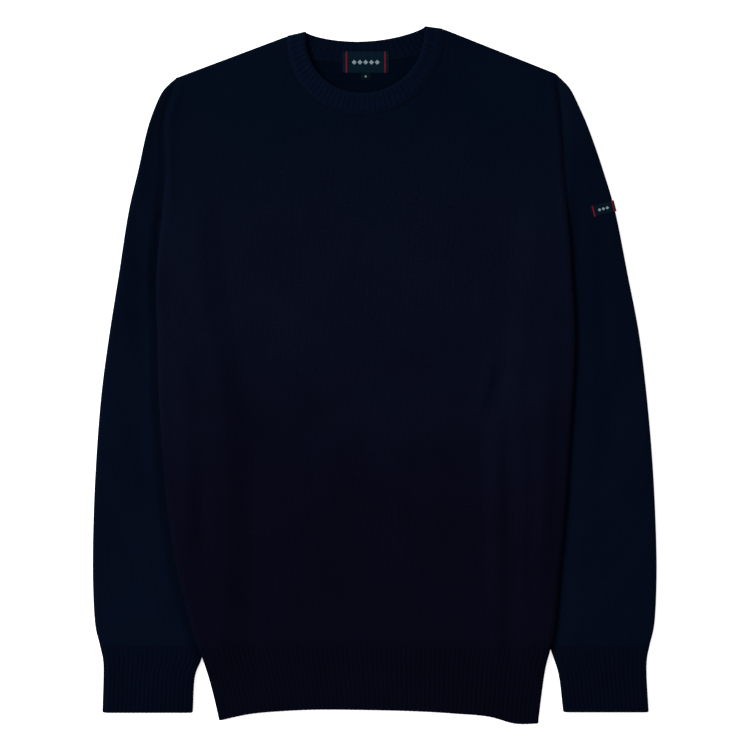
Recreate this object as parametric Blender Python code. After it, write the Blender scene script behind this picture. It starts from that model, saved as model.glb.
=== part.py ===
"""A fine-knit crewneck sweater laid out flat: front, back, two sleeves, ribbed bands and labels.

X runs to the right, Y towards the neck and Z up. The sweater lies on its back on the plane Z = 0,
and the origin is under the middle of its outline. Sizes and tables are in millimetres.
Every piece is a cloth wall: a grid of points in the middle of the cloth, moved out and in by half
of the cloth's thickness. Where the body lies over a sleeve, its level is lifted.
"""

from collections import namedtuple
import math

import bmesh
import bpy
from mathutils import Vector
from mathutils.bvhtree import BVHTree
import numpy as np

for item in list(bpy.data.objects):
    bpy.data.objects.remove(item, do_unlink=True)

MM = 0.001

# Cloth
KNIT = 1.6
RIB = 1.8
RIB_RAISE = 0.9
RIB_PITCH = 5.0
SEAM_GAP = 0.3
LABEL = 0.7

# Levels over the surface that the sweater lies on
FRONT_BACK_AIR = 2.6
SLEEVE_FREE_TOP = 7.0
SLEEVE_PRESSED_TOP = 5.0
BODY_OVER_SLEEVE = 5.6
ARMHOLE_DIP = 0.8
ARMHOLE_ROOM = 0.35
# Towards the underarm the sleeve's sewn end curves in under the body by this much
ARMHOLE_TUCK = 20.0
UNDERARM_ROUNDNESS = 1.15
# Over this share of a sleeve's length its sections lose the armhole's curve
ARMHOLE_FADE = 0.5
FOLD_ROLL = 6.0
SLEEVE_RISE_FROM = 4.0
SLEEVE_RISE_TO = 30.0
NECK_PUFF = 1.6
NECK_PUFF_REACH = 45.0

# Body
HEM_SEAM = -266.0
JOINED_ABOVE = 195.0
OVER_BELOW = 135.0
HEM_DOWN_FROM = -268.0
HEM_DOWN_TO = -306.0
LIFT_RAMP = 24.0

# Neck: two rounded rings, the band's free edge and its seam
NECK_X = -9.5
NECK_Y = 341.0
NECK_SLOPE = 0.045
FREE_HALF_WIDTH = 60.5
FREE_FRONT_DEPTH = 64.0
FREE_BACK_DEPTH = 12.0
FREE_BACK_ROUNDNESS = 1.7
FREE_RISE = 3.2
SEAM_HALF_WIDTH = 78.0
SEAM_FRONT_DEPTH = 80.5
SEAM_BACK_DEPTH = 28.0
SEAM_BACK_ROUNDNESS = 0.7
FRONT_ROUNDNESS = 0.92
# The front half of the neckband arches this far up between its seam and its free edge
NECK_STAND = 1.4
ARCH_FROM = 0.15
ARCH_SPAN = 0.6
FRONT_NECK_ROOM = 1.2
BACK_NECK_ROOM = 2.0

Edge = namedtuple("Edge", "y left right")
# Where the body's sides and armholes run, from the hem's lower corners to the shoulder points
BODY_EDGE = [
    Edge(-344.0, -155.5, 163.5),
    Edge(-316.0, -162.0, 167.0),
    Edge(-290.0, -169.5, 171.0),
    Edge(-266.0, -177.5, 177.0),
    Edge(-200.0, -195.5, 184.0),
    Edge(-140.0, -205.5, 189.5),
    Edge(-80.0, -211.0, 193.5),
    Edge(-20.0, -215.0, 197.5),
    Edge(40.0, -216.5, 200.0),
    Edge(95.0, -218.0, 197.0),
    Edge(150.0, -213.0, 193.5),
    Edge(200.0, -208.5, 189.0),
    Edge(258.0, -208.5, 185.5),
    Edge(297.0, -196.5, 180.5),
]
LEFT_SHOULDER = (-196.5, 296.8)
RIGHT_SHOULDER = (180.5, 300.5)

# The lines from which the body comes down off the sleeves, towards its middle
LIFT_LINE = [
    Edge(-344.0, -152.0, 160.0),
    Edge(-248.0, -154.0, 156.0),
    Edge(-200.0, -151.0, 146.0),
    Edge(-130.0, -150.0, 139.0),
    Edge(-60.0, -153.0, 139.0),
    Edge(0.0, -160.0, 146.0),
    Edge(80.0, -176.0, 158.0),
    Edge(195.0, -185.0, 168.0),
]

Hem = namedtuple("Hem", "x y")
HEM_LINE = [
    Hem(-155.5, -344.5),
    Hem(-128.0, -338.5),
    Hem(-84.0, -334.5),
    Hem(-5.0, -334.0),
    Hem(80.0, -337.5),
    Hem(116.0, -341.0),
    Hem(140.0, -347.5),
    Hem(163.5, -347.5),
]

Section = namedtuple("Section", "outer_x outer_y inner_x inner_y")
# Sleeve sections from the armhole to the cuff seam: the outer fold and the fold under the body
SLEEVE_RIGHT = [
    Section(-196.5, 297.5, -198.0, 84.0),
    Section(-209.5, 285.0, -198.5, 79.0),
    Section(-217.5, 270.0, -198.5, 72.0),
    Section(-226.5, 244.5, -196.5, 65.0),
    Section(-235.5, 204.5, -194.5, 54.0),
    Section(-245.5, 162.0, -189.5, 36.0),
    Section(-255.0, 102.0, -181.0, 12.0),
    Section(-264.5, 43.0, -172.0, -24.0),
    Section(-272.5, -16.0, -166.0, -66.0),
    Section(-277.5, -76.0, -163.0, -112.0),
    Section(-280.5, -136.0, -162.5, -158.0),
    Section(-281.5, -196.0, -164.0, -205.0),
    Section(-279.5, -246.0, -167.0, -248.0),
    Section(-274.5, -270.0, -171.0, -270.0),
]
SLEEVE_LEFT = [
    Section(180.5, 300.5, 178.0, 84.0),
    Section(193.5, 287.0, 178.0, 79.0),
    Section(202.0, 271.0, 177.5, 73.0),
    Section(213.5, 244.5, 176.5, 65.0),
    Section(227.5, 204.5, 174.5, 54.0),
    Section(240.0, 162.0, 171.0, 36.0),
    Section(252.0, 102.0, 165.0, 12.0),
    Section(263.5, 43.0, 155.0, -24.0),
    Section(271.0, -16.0, 148.0, -66.0),
    Section(276.5, -76.0, 145.0, -112.0),
    Section(280.0, -136.0, 147.0, -158.0),
    Section(281.5, -196.0, 155.0, -205.0),
    Section(279.5, -246.0, 166.0, -248.0),
    Section(274.5, -270.0, 174.0, -270.0),
]
CUFF_RIGHT = [
    Section(-274.2, -270.3, -171.3, -270.3),
    Section(-271.0, -284.0, -176.5, -284.0),
    Section(-270.5, -302.0, -179.5, -302.0),
    Section(-271.5, -336.5, -181.5, -336.5),
]
CUFF_LEFT = [
    Section(274.2, -270.3, 174.3, -270.3),
    Section(271.8, -284.0, 180.5, -284.0),
    Section(271.5, -302.0, 184.0, -302.0),
    Section(273.5, -334.5, 188.0, -334.5),
]

Fold = namedtuple("Fold", "x0 y0 x1 y1 width height")
# Ridges have a positive height and troughs a negative one
FRONT_FOLDS = [
    Fold(131.0, 10.0, 137.0, -262.0, 9.0, -2.1),
    Fold(166.0, 0.0, 160.0, -215.0, 13.0, 2.6),
    Fold(114.0, 20.0, 105.0, -40.0, 6.0, 1.6),
    Fold(-174.0, -95.0, -173.0, -190.0, 9.0, -1.9),
    Fold(-190.0, 20.0, -186.0, -150.0, 11.0, 1.8),
    Fold(-160.0, -195.0, -66.0, -272.0, 10.0, -1.9),
    Fold(-150.0, -160.0, -95.0, -215.0, 12.0, 1.5),
    Fold(-120.0, 260.0, -60.0, 150.0, 26.0, 1.6),
    Fold(105.0, 255.0, 60.0, 140.0, 26.0, 1.4),
]
SLEEVE_FOLDS = [
    Fold(-238.0, 150.0, -232.0, 20.0, 9.0, -1.4),
    Fold(-243.0, -30.0, -226.0, -120.0, 10.0, -1.2),
    Fold(-262.0, -150.0, -236.0, -190.0, 8.0, -1.0),
    Fold(224.0, 150.0, 226.0, 20.0, 9.0, -1.4),
    Fold(240.0, -20.0, 224.0, -120.0, 10.0, -1.2),
    Fold(262.0, -160.0, 232.0, -200.0, 8.0, -1.0),
]

# Labels: each lies over the highest place within LABEL_REACH of its own points
LABEL_REACH = 3.0
NECK_LABEL_WIDTH = 46.0
NECK_LABEL_TOP = 322.5
NECK_LABEL_HEIGHT = 21.0
NECK_LABEL_X = -9.0
SIZE_TAB_WIDTH = 10.0
SIZE_TAB_HEIGHT = 7.0
SLEEVE_LABEL_WIDTH = 24.0
SLEEVE_LABEL_HEIGHT = 12.0
SLEEVE_LABEL_X = 228.0
SLEEVE_LABEL_Y = 165.0
SLEEVE_LABEL_TURN = math.radians(14.0)

FRONT_ROWS = 17
BACK_ROWS = 12
SLEEVE_STATIONS = 17
CUFF_STATIONS = 3
NECK_ROWS = 3
NECKLINE_STEPS = 12
NECK_RIBS_FRONT = 40
NECK_RIBS_BACK = 26
HEM_ROWS = 3
HEM_BACK_COLUMNS = 19
HEM_LENGTH = 75.0
ROLL_STEPS = (0.0, 1.2, 3.2, FOLD_ROLL)
# A panel's columns are even near its sides and shoulders, and stretch to fit between them
EVEN_COLUMNS = 5
SHOULDER_STEP = 17.5
SIDE_STEP = 9.5
# How far in from a side a panel's columns still bend along with it
BEND_REACH = 150.0
# A fold fades over this share of its length at each end
FOLD_FADE = 0.3
# Points this near the surface are put on it
FLOOR_SNAP = 0.03
SHARP_ANGLE = math.radians(50.0)


def smooth_step(low, high, value):
    share = np.clip((value - low) / (high - low), 0.0, 1.0)
    return share * share * (3.0 - 2.0 * share)


def curve_through(keys, values, at):
    """A smooth curve through a table: cubic pieces whose slopes come from the neighbouring rows."""
    keys = np.asarray(keys, float)
    values = np.asarray(values, float)
    slopes = np.gradient(values, keys)
    at = np.clip(at, keys[0], keys[-1])
    place = np.clip(np.searchsorted(keys, at, side="right") - 1, 0, len(keys) - 2)
    span = keys[place + 1] - keys[place]
    share = (at - keys[place]) / span
    rest = 1.0 - share
    start = rest * rest * ((1.0 + 2.0 * share) * values[place] + share * span * slopes[place])
    end = share * share * (
        (3.0 - 2.0 * share) * values[place + 1] - rest * span * slopes[place + 1]
    )
    return start + end


EDGE_Y = [row.y for row in BODY_EDGE]


def left_edge(y):
    return curve_through(EDGE_Y, [row.left for row in BODY_EDGE], y)


def right_edge(y):
    return curve_through(EDGE_Y, [row.right for row in BODY_EDGE], y)


def hem_line(x):
    return curve_through([row.x for row in HEM_LINE], [row.y for row in HEM_LINE], x)


def outside(x, y):
    """How far a place lies outside the body's edge, positive over the free part of a sleeve."""
    return np.where(x < 0.0, left_edge(y) - x, x - right_edge(y))


def over_sleeve(y):
    """1 where the body's sides lie over the sleeves, 0 at the open armhole and at the hem."""
    below_armhole = 1.0 - smooth_step(OVER_BELOW, JOINED_ABOVE, y)
    above_hem = smooth_step(HEM_DOWN_TO, HEM_DOWN_FROM, y)
    return below_armhole * above_hem


def body_lift(x, y):
    """The level of the body's underside."""
    levels = [row.y for row in LIFT_LINE]
    left_line = curve_through(levels, [row.left for row in LIFT_LINE], y)
    right_line = curve_through(levels, [row.right for row in LIFT_LINE], y)
    left = 1.0 - smooth_step(0.0, LIFT_RAMP, x - left_line)
    right = 1.0 - smooth_step(0.0, LIFT_RAMP, right_line - x)
    return BODY_OVER_SLEEVE * over_sleeve(y) * np.maximum(left, right)


def fold_height(folds, x, y):
    """The sum of the soft folds at a place. Each is a bell across its line and fades at its ends."""
    height = np.zeros(np.shape(x))
    for fold in folds:
        dx = fold.x1 - fold.x0
        dy = fold.y1 - fold.y0
        length = math.hypot(dx, dy)
        along = ((x - fold.x0) * dx + (y - fold.y0) * dy) / length
        across = ((x - fold.x0) * dy - (y - fold.y0) * dx) / length
        fade = length * FOLD_FADE
        ends = smooth_step(-fade, fade, along) * (1.0 - smooth_step(length - fade, length + fade, along))
        height = height + fold.height * ends * np.exp(-((across / fold.width) ** 2))
    return height


def roll_share(distance):
    """The quarter-round by which cloth rolls down to a fold: 0 at the fold, 1 from FOLD_ROLL on."""
    rest = 1.0 - np.clip(distance / FOLD_ROLL, 0.0, 1.0)
    return np.sqrt(1.0 - rest * rest)


def neck_point(turn, share, room=0.0):
    """A place on the neckband, from its seam (share 0) to its free edge (share 1).

    Turn 0 is the left neck point; the front lies between it and half a turn, the back beyond.
    """

    def between(seam, free):
        return seam + (free - seam) * share

    half = between(SEAM_HALF_WIDTH, FREE_HALF_WIDTH) + room
    front_depth = between(SEAM_FRONT_DEPTH, FREE_FRONT_DEPTH) + room
    back_depth = between(SEAM_BACK_DEPTH, FREE_BACK_DEPTH) + room
    back_roundness = between(SEAM_BACK_ROUNDNESS, FREE_BACK_ROUNDNESS)
    height = np.abs(np.sin(turn))
    front = front_depth * height**FRONT_ROUNDNESS
    back = back_depth * height**back_roundness
    x = NECK_X - half * np.cos(turn)
    y = NECK_Y + FREE_RISE * share + NECK_SLOPE * (x - NECK_X)
    return x, y - np.where(np.sin(turn) >= 0.0, front, back)


def neck_puff(x, y):
    """How much the front rises towards the neckband."""
    reach = np.hypot((x - NECK_X) / SEAM_HALF_WIDTH, (y - NECK_Y) / SEAM_FRONT_DEPTH)
    far = (reach - 1.0) * SEAM_FRONT_DEPTH
    return NECK_PUFF * (1.0 - smooth_step(0.0, NECK_PUFF_REACH, far))


def front_middle(x, y):
    """The level of the middle of the front's cloth, away from its edges."""
    folds = np.maximum(fold_height(FRONT_FOLDS, x, y), SEAM_GAP - FRONT_BACK_AIR)
    return body_lift(x, y) + 1.5 * KNIT + FRONT_BACK_AIR + folds + neck_puff(x, y)


def back_middle(x, y):
    return body_lift(x, y) + 0.5 * KNIT


def seam_level(x, y):
    """The level of the side and shoulder seams, half-way between front and back."""
    return body_lift(x, y) + KNIT + 0.5 * FRONT_BACK_AIR


def sleeve_upper_middle(x, y):
    """The level of the middle of a sleeve's upper layer."""
    rise = smooth_step(SLEEVE_RISE_FROM, SLEEVE_RISE_TO, outside(x, y))
    folds = fold_height(SLEEVE_FOLDS, x, y) * rise
    top = SLEEVE_PRESSED_TOP + (SLEEVE_FREE_TOP - SLEEVE_PRESSED_TOP) * rise + folds
    return top - 0.5 * KNIT


def grid_normals(grid, closed=False, mirrored_columns=None, mirrored_rows=None):
    """The direction out of the cloth at each point of a grid of rows and columns.

    A mirrored edge is one that another piece continues below it, so the cloth stands upright
    there. mirrored_columns holds a share for each row, mirrored_rows one for each column.
    """

    def beyond(edge, inner, share):
        straight = 2.0 * edge - inner
        mirror = inner.copy()
        mirror[:, 2] = 2.0 * edge[:, 2] - inner[:, 2]
        return straight + (mirror - straight) * share[:, None]

    rows, columns = grid.shape[:2]
    column_share = np.zeros(rows) if mirrored_columns is None else mirrored_columns
    row_share = np.zeros(columns) if mirrored_rows is None else mirrored_rows
    if closed:
        before = grid[:, -1]
        after = grid[:, 0]
    else:
        before = beyond(grid[:, 0], grid[:, 1], column_share)
        after = beyond(grid[:, -1], grid[:, -2], column_share)
    wide = np.concatenate([before[:, None], grid, after[:, None]], axis=1)
    below = 2.0 * grid[0] - grid[1]
    above = beyond(grid[-1], grid[-2], row_share)
    tall = np.concatenate([below[None], grid, above[None]], axis=0)
    across = wide[:, 2:] - wide[:, :-2]
    along = tall[2:] - tall[:-2]
    normals = np.cross(across, along)
    return normals / np.linalg.norm(normals, axis=2, keepdims=True)


def cloth_wall(name, grid, thickness, material, raised=None, raised_inside=None, closed=False, **mirrored):
    """A closed wall around a grid; raised holds how far each outer point stands further out."""
    normals = grid_normals(grid, closed, **mirrored)
    plain = np.zeros(grid.shape[:2])
    outside_extra = plain if raised is None else raised
    inside_extra = plain if raised_inside is None else raised_inside
    outer = grid + normals * (0.5 * thickness + outside_extra)[..., None]
    inner = grid - normals * (0.5 * thickness + inside_extra)[..., None]
    for layer in (outer, inner):
        layer[..., 2] = np.maximum(layer[..., 2], 0.0)
        layer[..., 2][layer[..., 2] < FLOOR_SNAP] = 0.0
    rows, columns = grid.shape[:2]
    mesh = bmesh.new()
    layers = [
        [[mesh.verts.new(Vector(point) * MM) for point in row] for row in layer]
        for layer in (outer, inner)
    ]
    top, bottom = layers
    steps = columns if closed else columns - 1
    for i in range(rows - 1):
        for j in range(steps):
            k = (j + 1) % columns
            mesh.faces.new((top[i][j], top[i][k], top[i + 1][k], top[i + 1][j]))
            mesh.faces.new((bottom[i][j], bottom[i + 1][j], bottom[i + 1][k], bottom[i][k]))
    for j in range(steps):
        k = (j + 1) % columns
        mesh.faces.new((top[0][j], bottom[0][j], bottom[0][k], top[0][k]))
        mesh.faces.new((top[-1][j], top[-1][k], bottom[-1][k], bottom[-1][j]))
    if not closed:
        for i in range(rows - 1):
            mesh.faces.new((top[i][0], top[i + 1][0], bottom[i + 1][0], bottom[i][0]))
            mesh.faces.new((top[i][-1], bottom[i][-1], bottom[i + 1][-1], top[i + 1][-1]))
    data = bpy.data.meshes.new(name)
    mesh.to_mesh(data)
    mesh.free()
    data.shade_smooth()
    data.set_sharp_from_angle(angle=SHARP_ANGLE)
    piece = bpy.data.objects.new(name, data)
    bpy.context.collection.objects.link(piece)
    data.materials.append(material)
    return piece


def cloth(name, colour, roughness):
    material = bpy.data.materials.new(name)
    material.use_nodes = True
    shader = material.node_tree.nodes["Principled BSDF"]
    shader.inputs["Base Color"].default_value = (*colour, 1.0)
    shader.inputs["Roughness"].default_value = roughness
    shader.inputs["Metallic"].default_value = 0.0
    return material


def shoulder_points(corner, neck, distances):
    """Places along a shoulder seam at given distances from its outer end."""
    length = math.hypot(neck[0] - corner[0], neck[1] - corner[1])
    return [
        (
            corner[0] + (neck[0] - corner[0]) * distance / length,
            corner[1] + (neck[1] - corner[1]) * distance / length,
        )
        for distance in distances
    ]


def top_boundary(facing, distances):
    """The upper edge of a panel, from the left shoulder point past the neckline to the right one."""
    turns = [facing * math.pi * k / NECKLINE_STEPS for k in range(NECKLINE_STEPS + 1)]
    room = FRONT_NECK_ROOM if facing > 0 else BACK_NECK_ROOM
    ring = [tuple(float(value) for value in neck_point(turn, 0.0, room)) for turn in turns]
    left = shoulder_points(LEFT_SHOULDER, ring[0], distances)
    right = shoulder_points(RIGHT_SHOULDER, ring[-1], distances)
    return left + ring + right[::-1]


def straight_side(start_x, shoulder, heights):
    """Where a straight line from the hem seam to a shoulder point runs at some heights."""
    share = (heights - HEM_SEAM) / (shoulder[1] - HEM_SEAM)
    return start_x + (shoulder[0] - start_x) * share


def panel_plan(facing, rows):
    """A panel's plan as rows of places from the hem seam to the upper edge, left to right."""
    roll = ROLL_STEPS
    even = range(1, EVEN_COLUMNS + 1)
    shoulder = list(roll) + [roll[-1] + SHOULDER_STEP * k for k in even]
    top = top_boundary(facing, shoulder)
    count = len(top)
    left = float(left_edge(HEM_SEAM))
    right = float(right_edge(HEM_SEAM))
    side = list(roll) + [roll[-1] + SIDE_STEP * k for k in even]
    middle_left = left + side[-1]
    middle_right = right - side[-1]
    between = count - 2 * len(side)
    inner = [middle_left + (middle_right - middle_left) * (k + 1) / (between + 1) for k in range(between)]
    bottom = [left + step for step in side] + inner + [right - step for step in side[::-1]]
    plan = np.zeros((rows + len(roll), count, 2))
    for j in range(count):
        x0 = bottom[j]
        x1, y1 = top[j]
        y0 = HEM_SEAM + 0.5 * SEAM_GAP
        heights = [y0 + (y1 - roll[-1] - y0) * i / rows for i in range(rows)]
        heights += [y1 - step for step in roll[::-1]]
        heights = np.array(heights)
        share = (heights - y0) / (y1 - y0)
        near_left = max(0.0, 1.0 - max(x0 - left - roll[-1], 0.0) / BEND_REACH)
        near_right = max(0.0, 1.0 - max(right - x0 - roll[-1], 0.0) / BEND_REACH)
        left_chord = straight_side(left, LEFT_SHOULDER, heights)
        right_chord = straight_side(right, RIGHT_SHOULDER, heights)
        bend_left = near_left * (left_edge(heights) - left_chord)
        bend_right = near_right * (right_edge(heights) - right_chord)
        plan[:, j, 0] = x0 + (x1 - x0) * share + bend_left + bend_right
        plan[:, j, 1] = heights
    return plan


def panel_grid(plan, middle, seam_side):
    """Heights for a panel's plan: level inside, rolled to the seam along sides and shoulders."""
    x = plan[..., 0].copy()
    y = plan[..., 1].copy()
    joined = smooth_step(OVER_BELOW, JOINED_ABOVE, y)
    inset = 0.5 * SEAM_GAP + (0.5 * KNIT - 0.5 * SEAM_GAP) * (1.0 - joined)
    from_left = np.maximum(x - left_edge(y), 0.0)
    from_right = np.maximum(right_edge(y) - x, 0.0)
    from_side = np.minimum(from_left, from_right)
    slip = inset * (1.0 - np.clip(from_side / FOLD_ROLL, 0.0, 1.0))
    x += np.where(from_left < from_right, slip, -slip)
    side_roll = roll_share(from_side)
    left_line = LEFT_SHOULDER[1] + (x - LEFT_SHOULDER[0]) * shoulder_slope("left")
    right_line = RIGHT_SHOULDER[1] + (x - RIGHT_SHOULDER[0]) * shoulder_slope("right")
    shoulder = np.where(x < NECK_X, left_line, right_line)
    on_shoulder = np.abs(x - NECK_X) > SEAM_HALF_WIDTH - FOLD_ROLL
    below_shoulder = np.where(on_shoulder, np.maximum(shoulder - y, 0.0), FOLD_ROLL)
    shoulder_roll = roll_share(below_shoulder)
    level = middle(x, y)
    seam = seam_level(x, y) + seam_side * 0.5 * SEAM_GAP
    dip = ARMHOLE_DIP * (1.0 - side_roll) if seam_side > 0 else 0.0
    armhole = level - dip
    side = seam + (level - seam) * side_roll
    rolled = side + (armhole - side) * joined
    z = seam + (rolled - seam) * shoulder_roll
    y = y - np.where(on_shoulder, 0.5 * KNIT * (1.0 - shoulder_roll), 0.0)
    return np.stack([x, y, z], axis=2)


def shoulder_slope(side):
    half = SEAM_HALF_WIDTH + FRONT_NECK_ROOM
    corner = LEFT_SHOULDER if side == "left" else RIGHT_SHOULDER
    sign = -1.0 if side == "left" else 1.0
    end = (NECK_X + sign * half, NECK_Y + sign * half * NECK_SLOPE)
    return (end[1] - corner[1]) / (end[0] - corner[0])


def make_panel(name, rows, middle, facing, material):
    plan = panel_plan(facing, rows)
    grid = panel_grid(plan, middle, facing)
    side_share = 1.0 - smooth_step(OVER_BELOW, JOINED_ABOVE, grid[:, 0, 1])
    on_shoulder = np.abs(grid[-1, :, 0] - NECK_X) > SEAM_HALF_WIDTH + 1.0
    top_share = on_shoulder.astype(float)
    if facing < 0:
        grid = grid[:, ::-1]
        top_share = top_share[::-1]
    return cloth_wall(
        name, grid, KNIT, material, mirrored_columns=side_share, mirrored_rows=top_share
    )


def ribs_between(start, end, pitch):
    """Columns of a rib knit: each rib has two crest columns and one groove column."""
    count = max(1, round(abs(end - start) / pitch))
    step = (end - start) / count
    places = [start]
    heights = [0.0]
    for k in range(count):
        for share, height in ((0.2, 1.0), (0.65, 1.0), (1.0, 0.0)):
            places.append(start + step * (k + share))
            heights.append(height)
    return places, heights


def make_hem(name, ribbed, middle, facing, material):
    left = float(left_edge(HEM_SEAM))
    right = float(right_edge(HEM_SEAM))
    if ribbed:
        places, heights = ribs_between(left + FOLD_ROLL, right - FOLD_ROLL, RIB_PITCH)
    else:
        places = list(np.linspace(left + FOLD_ROLL, right - FOLD_ROLL, HEM_BACK_COLUMNS))
        heights = [0.0] * len(places)
    places = [left + step for step in ROLL_STEPS[:-1]] + places
    places += [right - step for step in ROLL_STEPS[-2::-1]]
    edge = len(ROLL_STEPS) - 1
    heights = [0.0] * edge + heights + [0.0] * edge
    share_across = (np.array(places) - left) / (right - left)
    grid = np.zeros((HEM_ROWS, len(places), 3))
    for i in range(HEM_ROWS):
        down = 1.0 - i / (HEM_ROWS - 1)
        guess = HEM_SEAM - HEM_LENGTH * down
        for _ in range(3):
            x_left = left_edge(guess)
            x_right = right_edge(guess)
            x = x_left + (x_right - x_left) * share_across
            guess = (HEM_SEAM - 0.5 * SEAM_GAP) * (1.0 - down) + hem_line(x) * down
        y = guess
        from_left = x - left_edge(y)
        from_right = right_edge(y) - x
        from_side = np.maximum(np.minimum(from_left, from_right), 0.0)
        slip = 0.5 * KNIT * (1.0 - np.clip(from_side / FOLD_ROLL, 0.0, 1.0))
        x = x + np.where(from_left < from_right, slip, -slip)
        roll = roll_share(from_side)
        seam = seam_level(x, y) + facing * 0.5 * SEAM_GAP
        grid[i] = np.stack([x, y, seam + (middle(x, y) - seam) * roll], axis=1)
    raised = np.tile(np.array(heights) * RIB_RAISE, (HEM_ROWS, 1))
    if facing < 0:
        grid = grid[:, ::-1]
        raised = raised[:, ::-1]
    return cloth_wall(name, grid, RIB, material, raised, mirrored_columns=np.ones(HEM_ROWS))


Column = namedtuple("Column", "anchor value layer")


def ring_columns(upper, lower):
    """Places around a flattened tube, from its right fold over the top and back underneath.

    upper and lower are shares of the width between the two rolled edges, from the right one. layer
    is 1 on the upper layer, -1 on the lower one and 0 at the folds.
    """
    roll = ROLL_STEPS[1:]
    columns = [Column("right", 0.0, 0)]
    columns += [Column("right", step, 1) for step in roll]
    columns += [Column("share", share, 1) for share in upper]
    columns += [Column("left", step, 1) for step in roll[::-1]]
    columns += [Column("left", 0.0, 0)]
    columns += [Column("left", step, -1) for step in roll]
    columns += [Column("share", share, -1) for share in lower[::-1]]
    columns += [Column("right", step, -1) for step in roll[::-1]]
    return columns


def tube_height(x, y, distance, layer, thickness):
    """The level of a flattened tube's cloth at a distance from its nearer fold."""
    upper = float(sleeve_upper_middle(x, y))
    lower = 0.5 * thickness
    fold = 0.5 * (upper + lower)
    target = upper if layer > 0 else lower
    return fold + (target - fold) * float(roll_share(distance))


def fold_inset(distance, thickness):
    """How far the middle of the cloth lies inside a fold's outline."""
    return 0.5 * thickness * (1.0 - min(distance / FOLD_ROLL, 1.0))


def tube_ring(right, left, columns, thickness, bulge=None):
    """One section of a flattened tube between its right and left folds, as a ring of points.

    bulge holds, for each column, how far it lies along and beyond the straight line of the folds.
    """
    along = np.array(left) - np.array(right)
    length = float(np.hypot(*along))
    direction = along / length
    beyond = np.array([direction[1], -direction[0]])
    ring = []
    for index, column in enumerate(columns):
        place = column.value
        if column.anchor == "left":
            place = length - column.value
        elif column.anchor == "share":
            place = FOLD_ROLL + column.value * (length - 2.0 * FOLD_ROLL)
        distance = min(place, length - place)
        inset = fold_inset(distance, thickness)
        toward = inset if place < 0.5 * length else -inset
        x, y = np.array(right) + direction * (place + toward)
        if bulge is not None:
            x, y = (x, y) + direction * bulge[index][0] + beyond * bulge[index][1]
        ring.append((x, y, tube_height(x, y, distance, column.layer, thickness)))
    return ring


def armhole_levels(rows, shoulder_y, underarm_y):
    """The heights of a panel's rows along its armhole."""
    start = HEM_SEAM + 0.5 * SEAM_GAP
    step = (shoulder_y - FOLD_ROLL - start) / rows
    levels = [start + step * i for i in range(rows)]
    return [level for level in levels if level > underarm_y + FOLD_ROLL]


def armhole_ring(section, side, columns, front_levels, back_levels):
    """A sleeve's sewn end: it follows the body's edge, point for point with the panels' rows."""
    ring = []
    right_is_inner = side < 0
    for column in columns:
        if column.anchor == "share":
            levels = front_levels if column.layer > 0 else back_levels
            ordered = levels if right_is_inner else levels[::-1]
            y = ordered[round(column.value * (len(levels) + 1)) - 1]
        else:
            inset = column.value + fold_inset(column.value, KNIT)
            at_inner = (column.anchor == "right") == right_is_inner
            y = section.inner_y + inset if at_inner else section.outer_y - inset
        edge = float(left_edge(y)) if side < 0 else float(right_edge(y))
        low = max(OVER_BELOW - y, 0.0) / (OVER_BELOW - section.inner_y)
        x = edge + side * (ARMHOLE_ROOM - ARMHOLE_TUCK * low**UNDERARM_ROUNDNESS)
        distance = min(abs(y - section.inner_y), abs(section.outer_y - y))
        if column.anchor != "share":
            distance = column.value
        ring.append((x, y, tube_height(x, y, distance, column.layer, KNIT)))
    return ring


def sections_along(rows, stations):
    """A sleeve's sections evenly spaced along its table."""
    keys = np.arange(len(rows))
    at = np.linspace(0.0, len(rows) - 1.0, stations)
    columns = [curve_through(keys, [row[k] for row in rows], at) for k in range(4)]
    return [Section(*values) for values in zip(*columns)]


def bulge_of(ring, straight, right, left):
    """How far each point of a ring lies along and beyond its place in a straight section."""
    along = np.array(left) - np.array(right)
    direction = along / np.hypot(*along)
    beyond = np.array([direction[1], -direction[0]])
    moved = np.array(ring)[:, :2] - np.array(straight)[:, :2]
    return np.stack([moved @ direction, moved @ beyond], axis=1)


def inner_shares(count):
    return [(k + 1) / (count + 1) for k in range(count)]


def fold_ends(section, side):
    """A section's right and left folds: on the wearer's right sleeve the inner one is to the right."""
    outer = (section.outer_x, section.outer_y)
    inner = (section.inner_x, section.inner_y)
    return (inner, outer) if side < 0 else (outer, inner)


def make_sleeve(name, rows, side, material):
    shoulder_y = LEFT_SHOULDER[1] if side < 0 else RIGHT_SHOULDER[1]
    front_levels = armhole_levels(FRONT_ROWS, shoulder_y, rows[0].inner_y)
    back_levels = armhole_levels(BACK_ROWS, shoulder_y, rows[0].inner_y)
    columns = ring_columns(inner_shares(len(front_levels)), inner_shares(len(back_levels)))
    sections = sections_along(rows, SLEEVE_STATIONS)
    armhole = armhole_ring(sections[0], side, columns, front_levels, back_levels)
    straight = tube_ring(*fold_ends(sections[0], side), columns, KNIT)
    bulge = bulge_of(armhole, straight, *fold_ends(sections[0], side))
    grid = [armhole]
    for k, section in enumerate(sections[1:], 1):
        left_of_it = 1.0 - smooth_step(0.0, ARMHOLE_FADE, k / (len(sections) - 1))
        grid.append(tube_ring(*fold_ends(section, side), columns, KNIT, bulge * left_of_it))
    return cloth_wall(name, np.array(grid), KNIT, material, closed=True)


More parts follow.
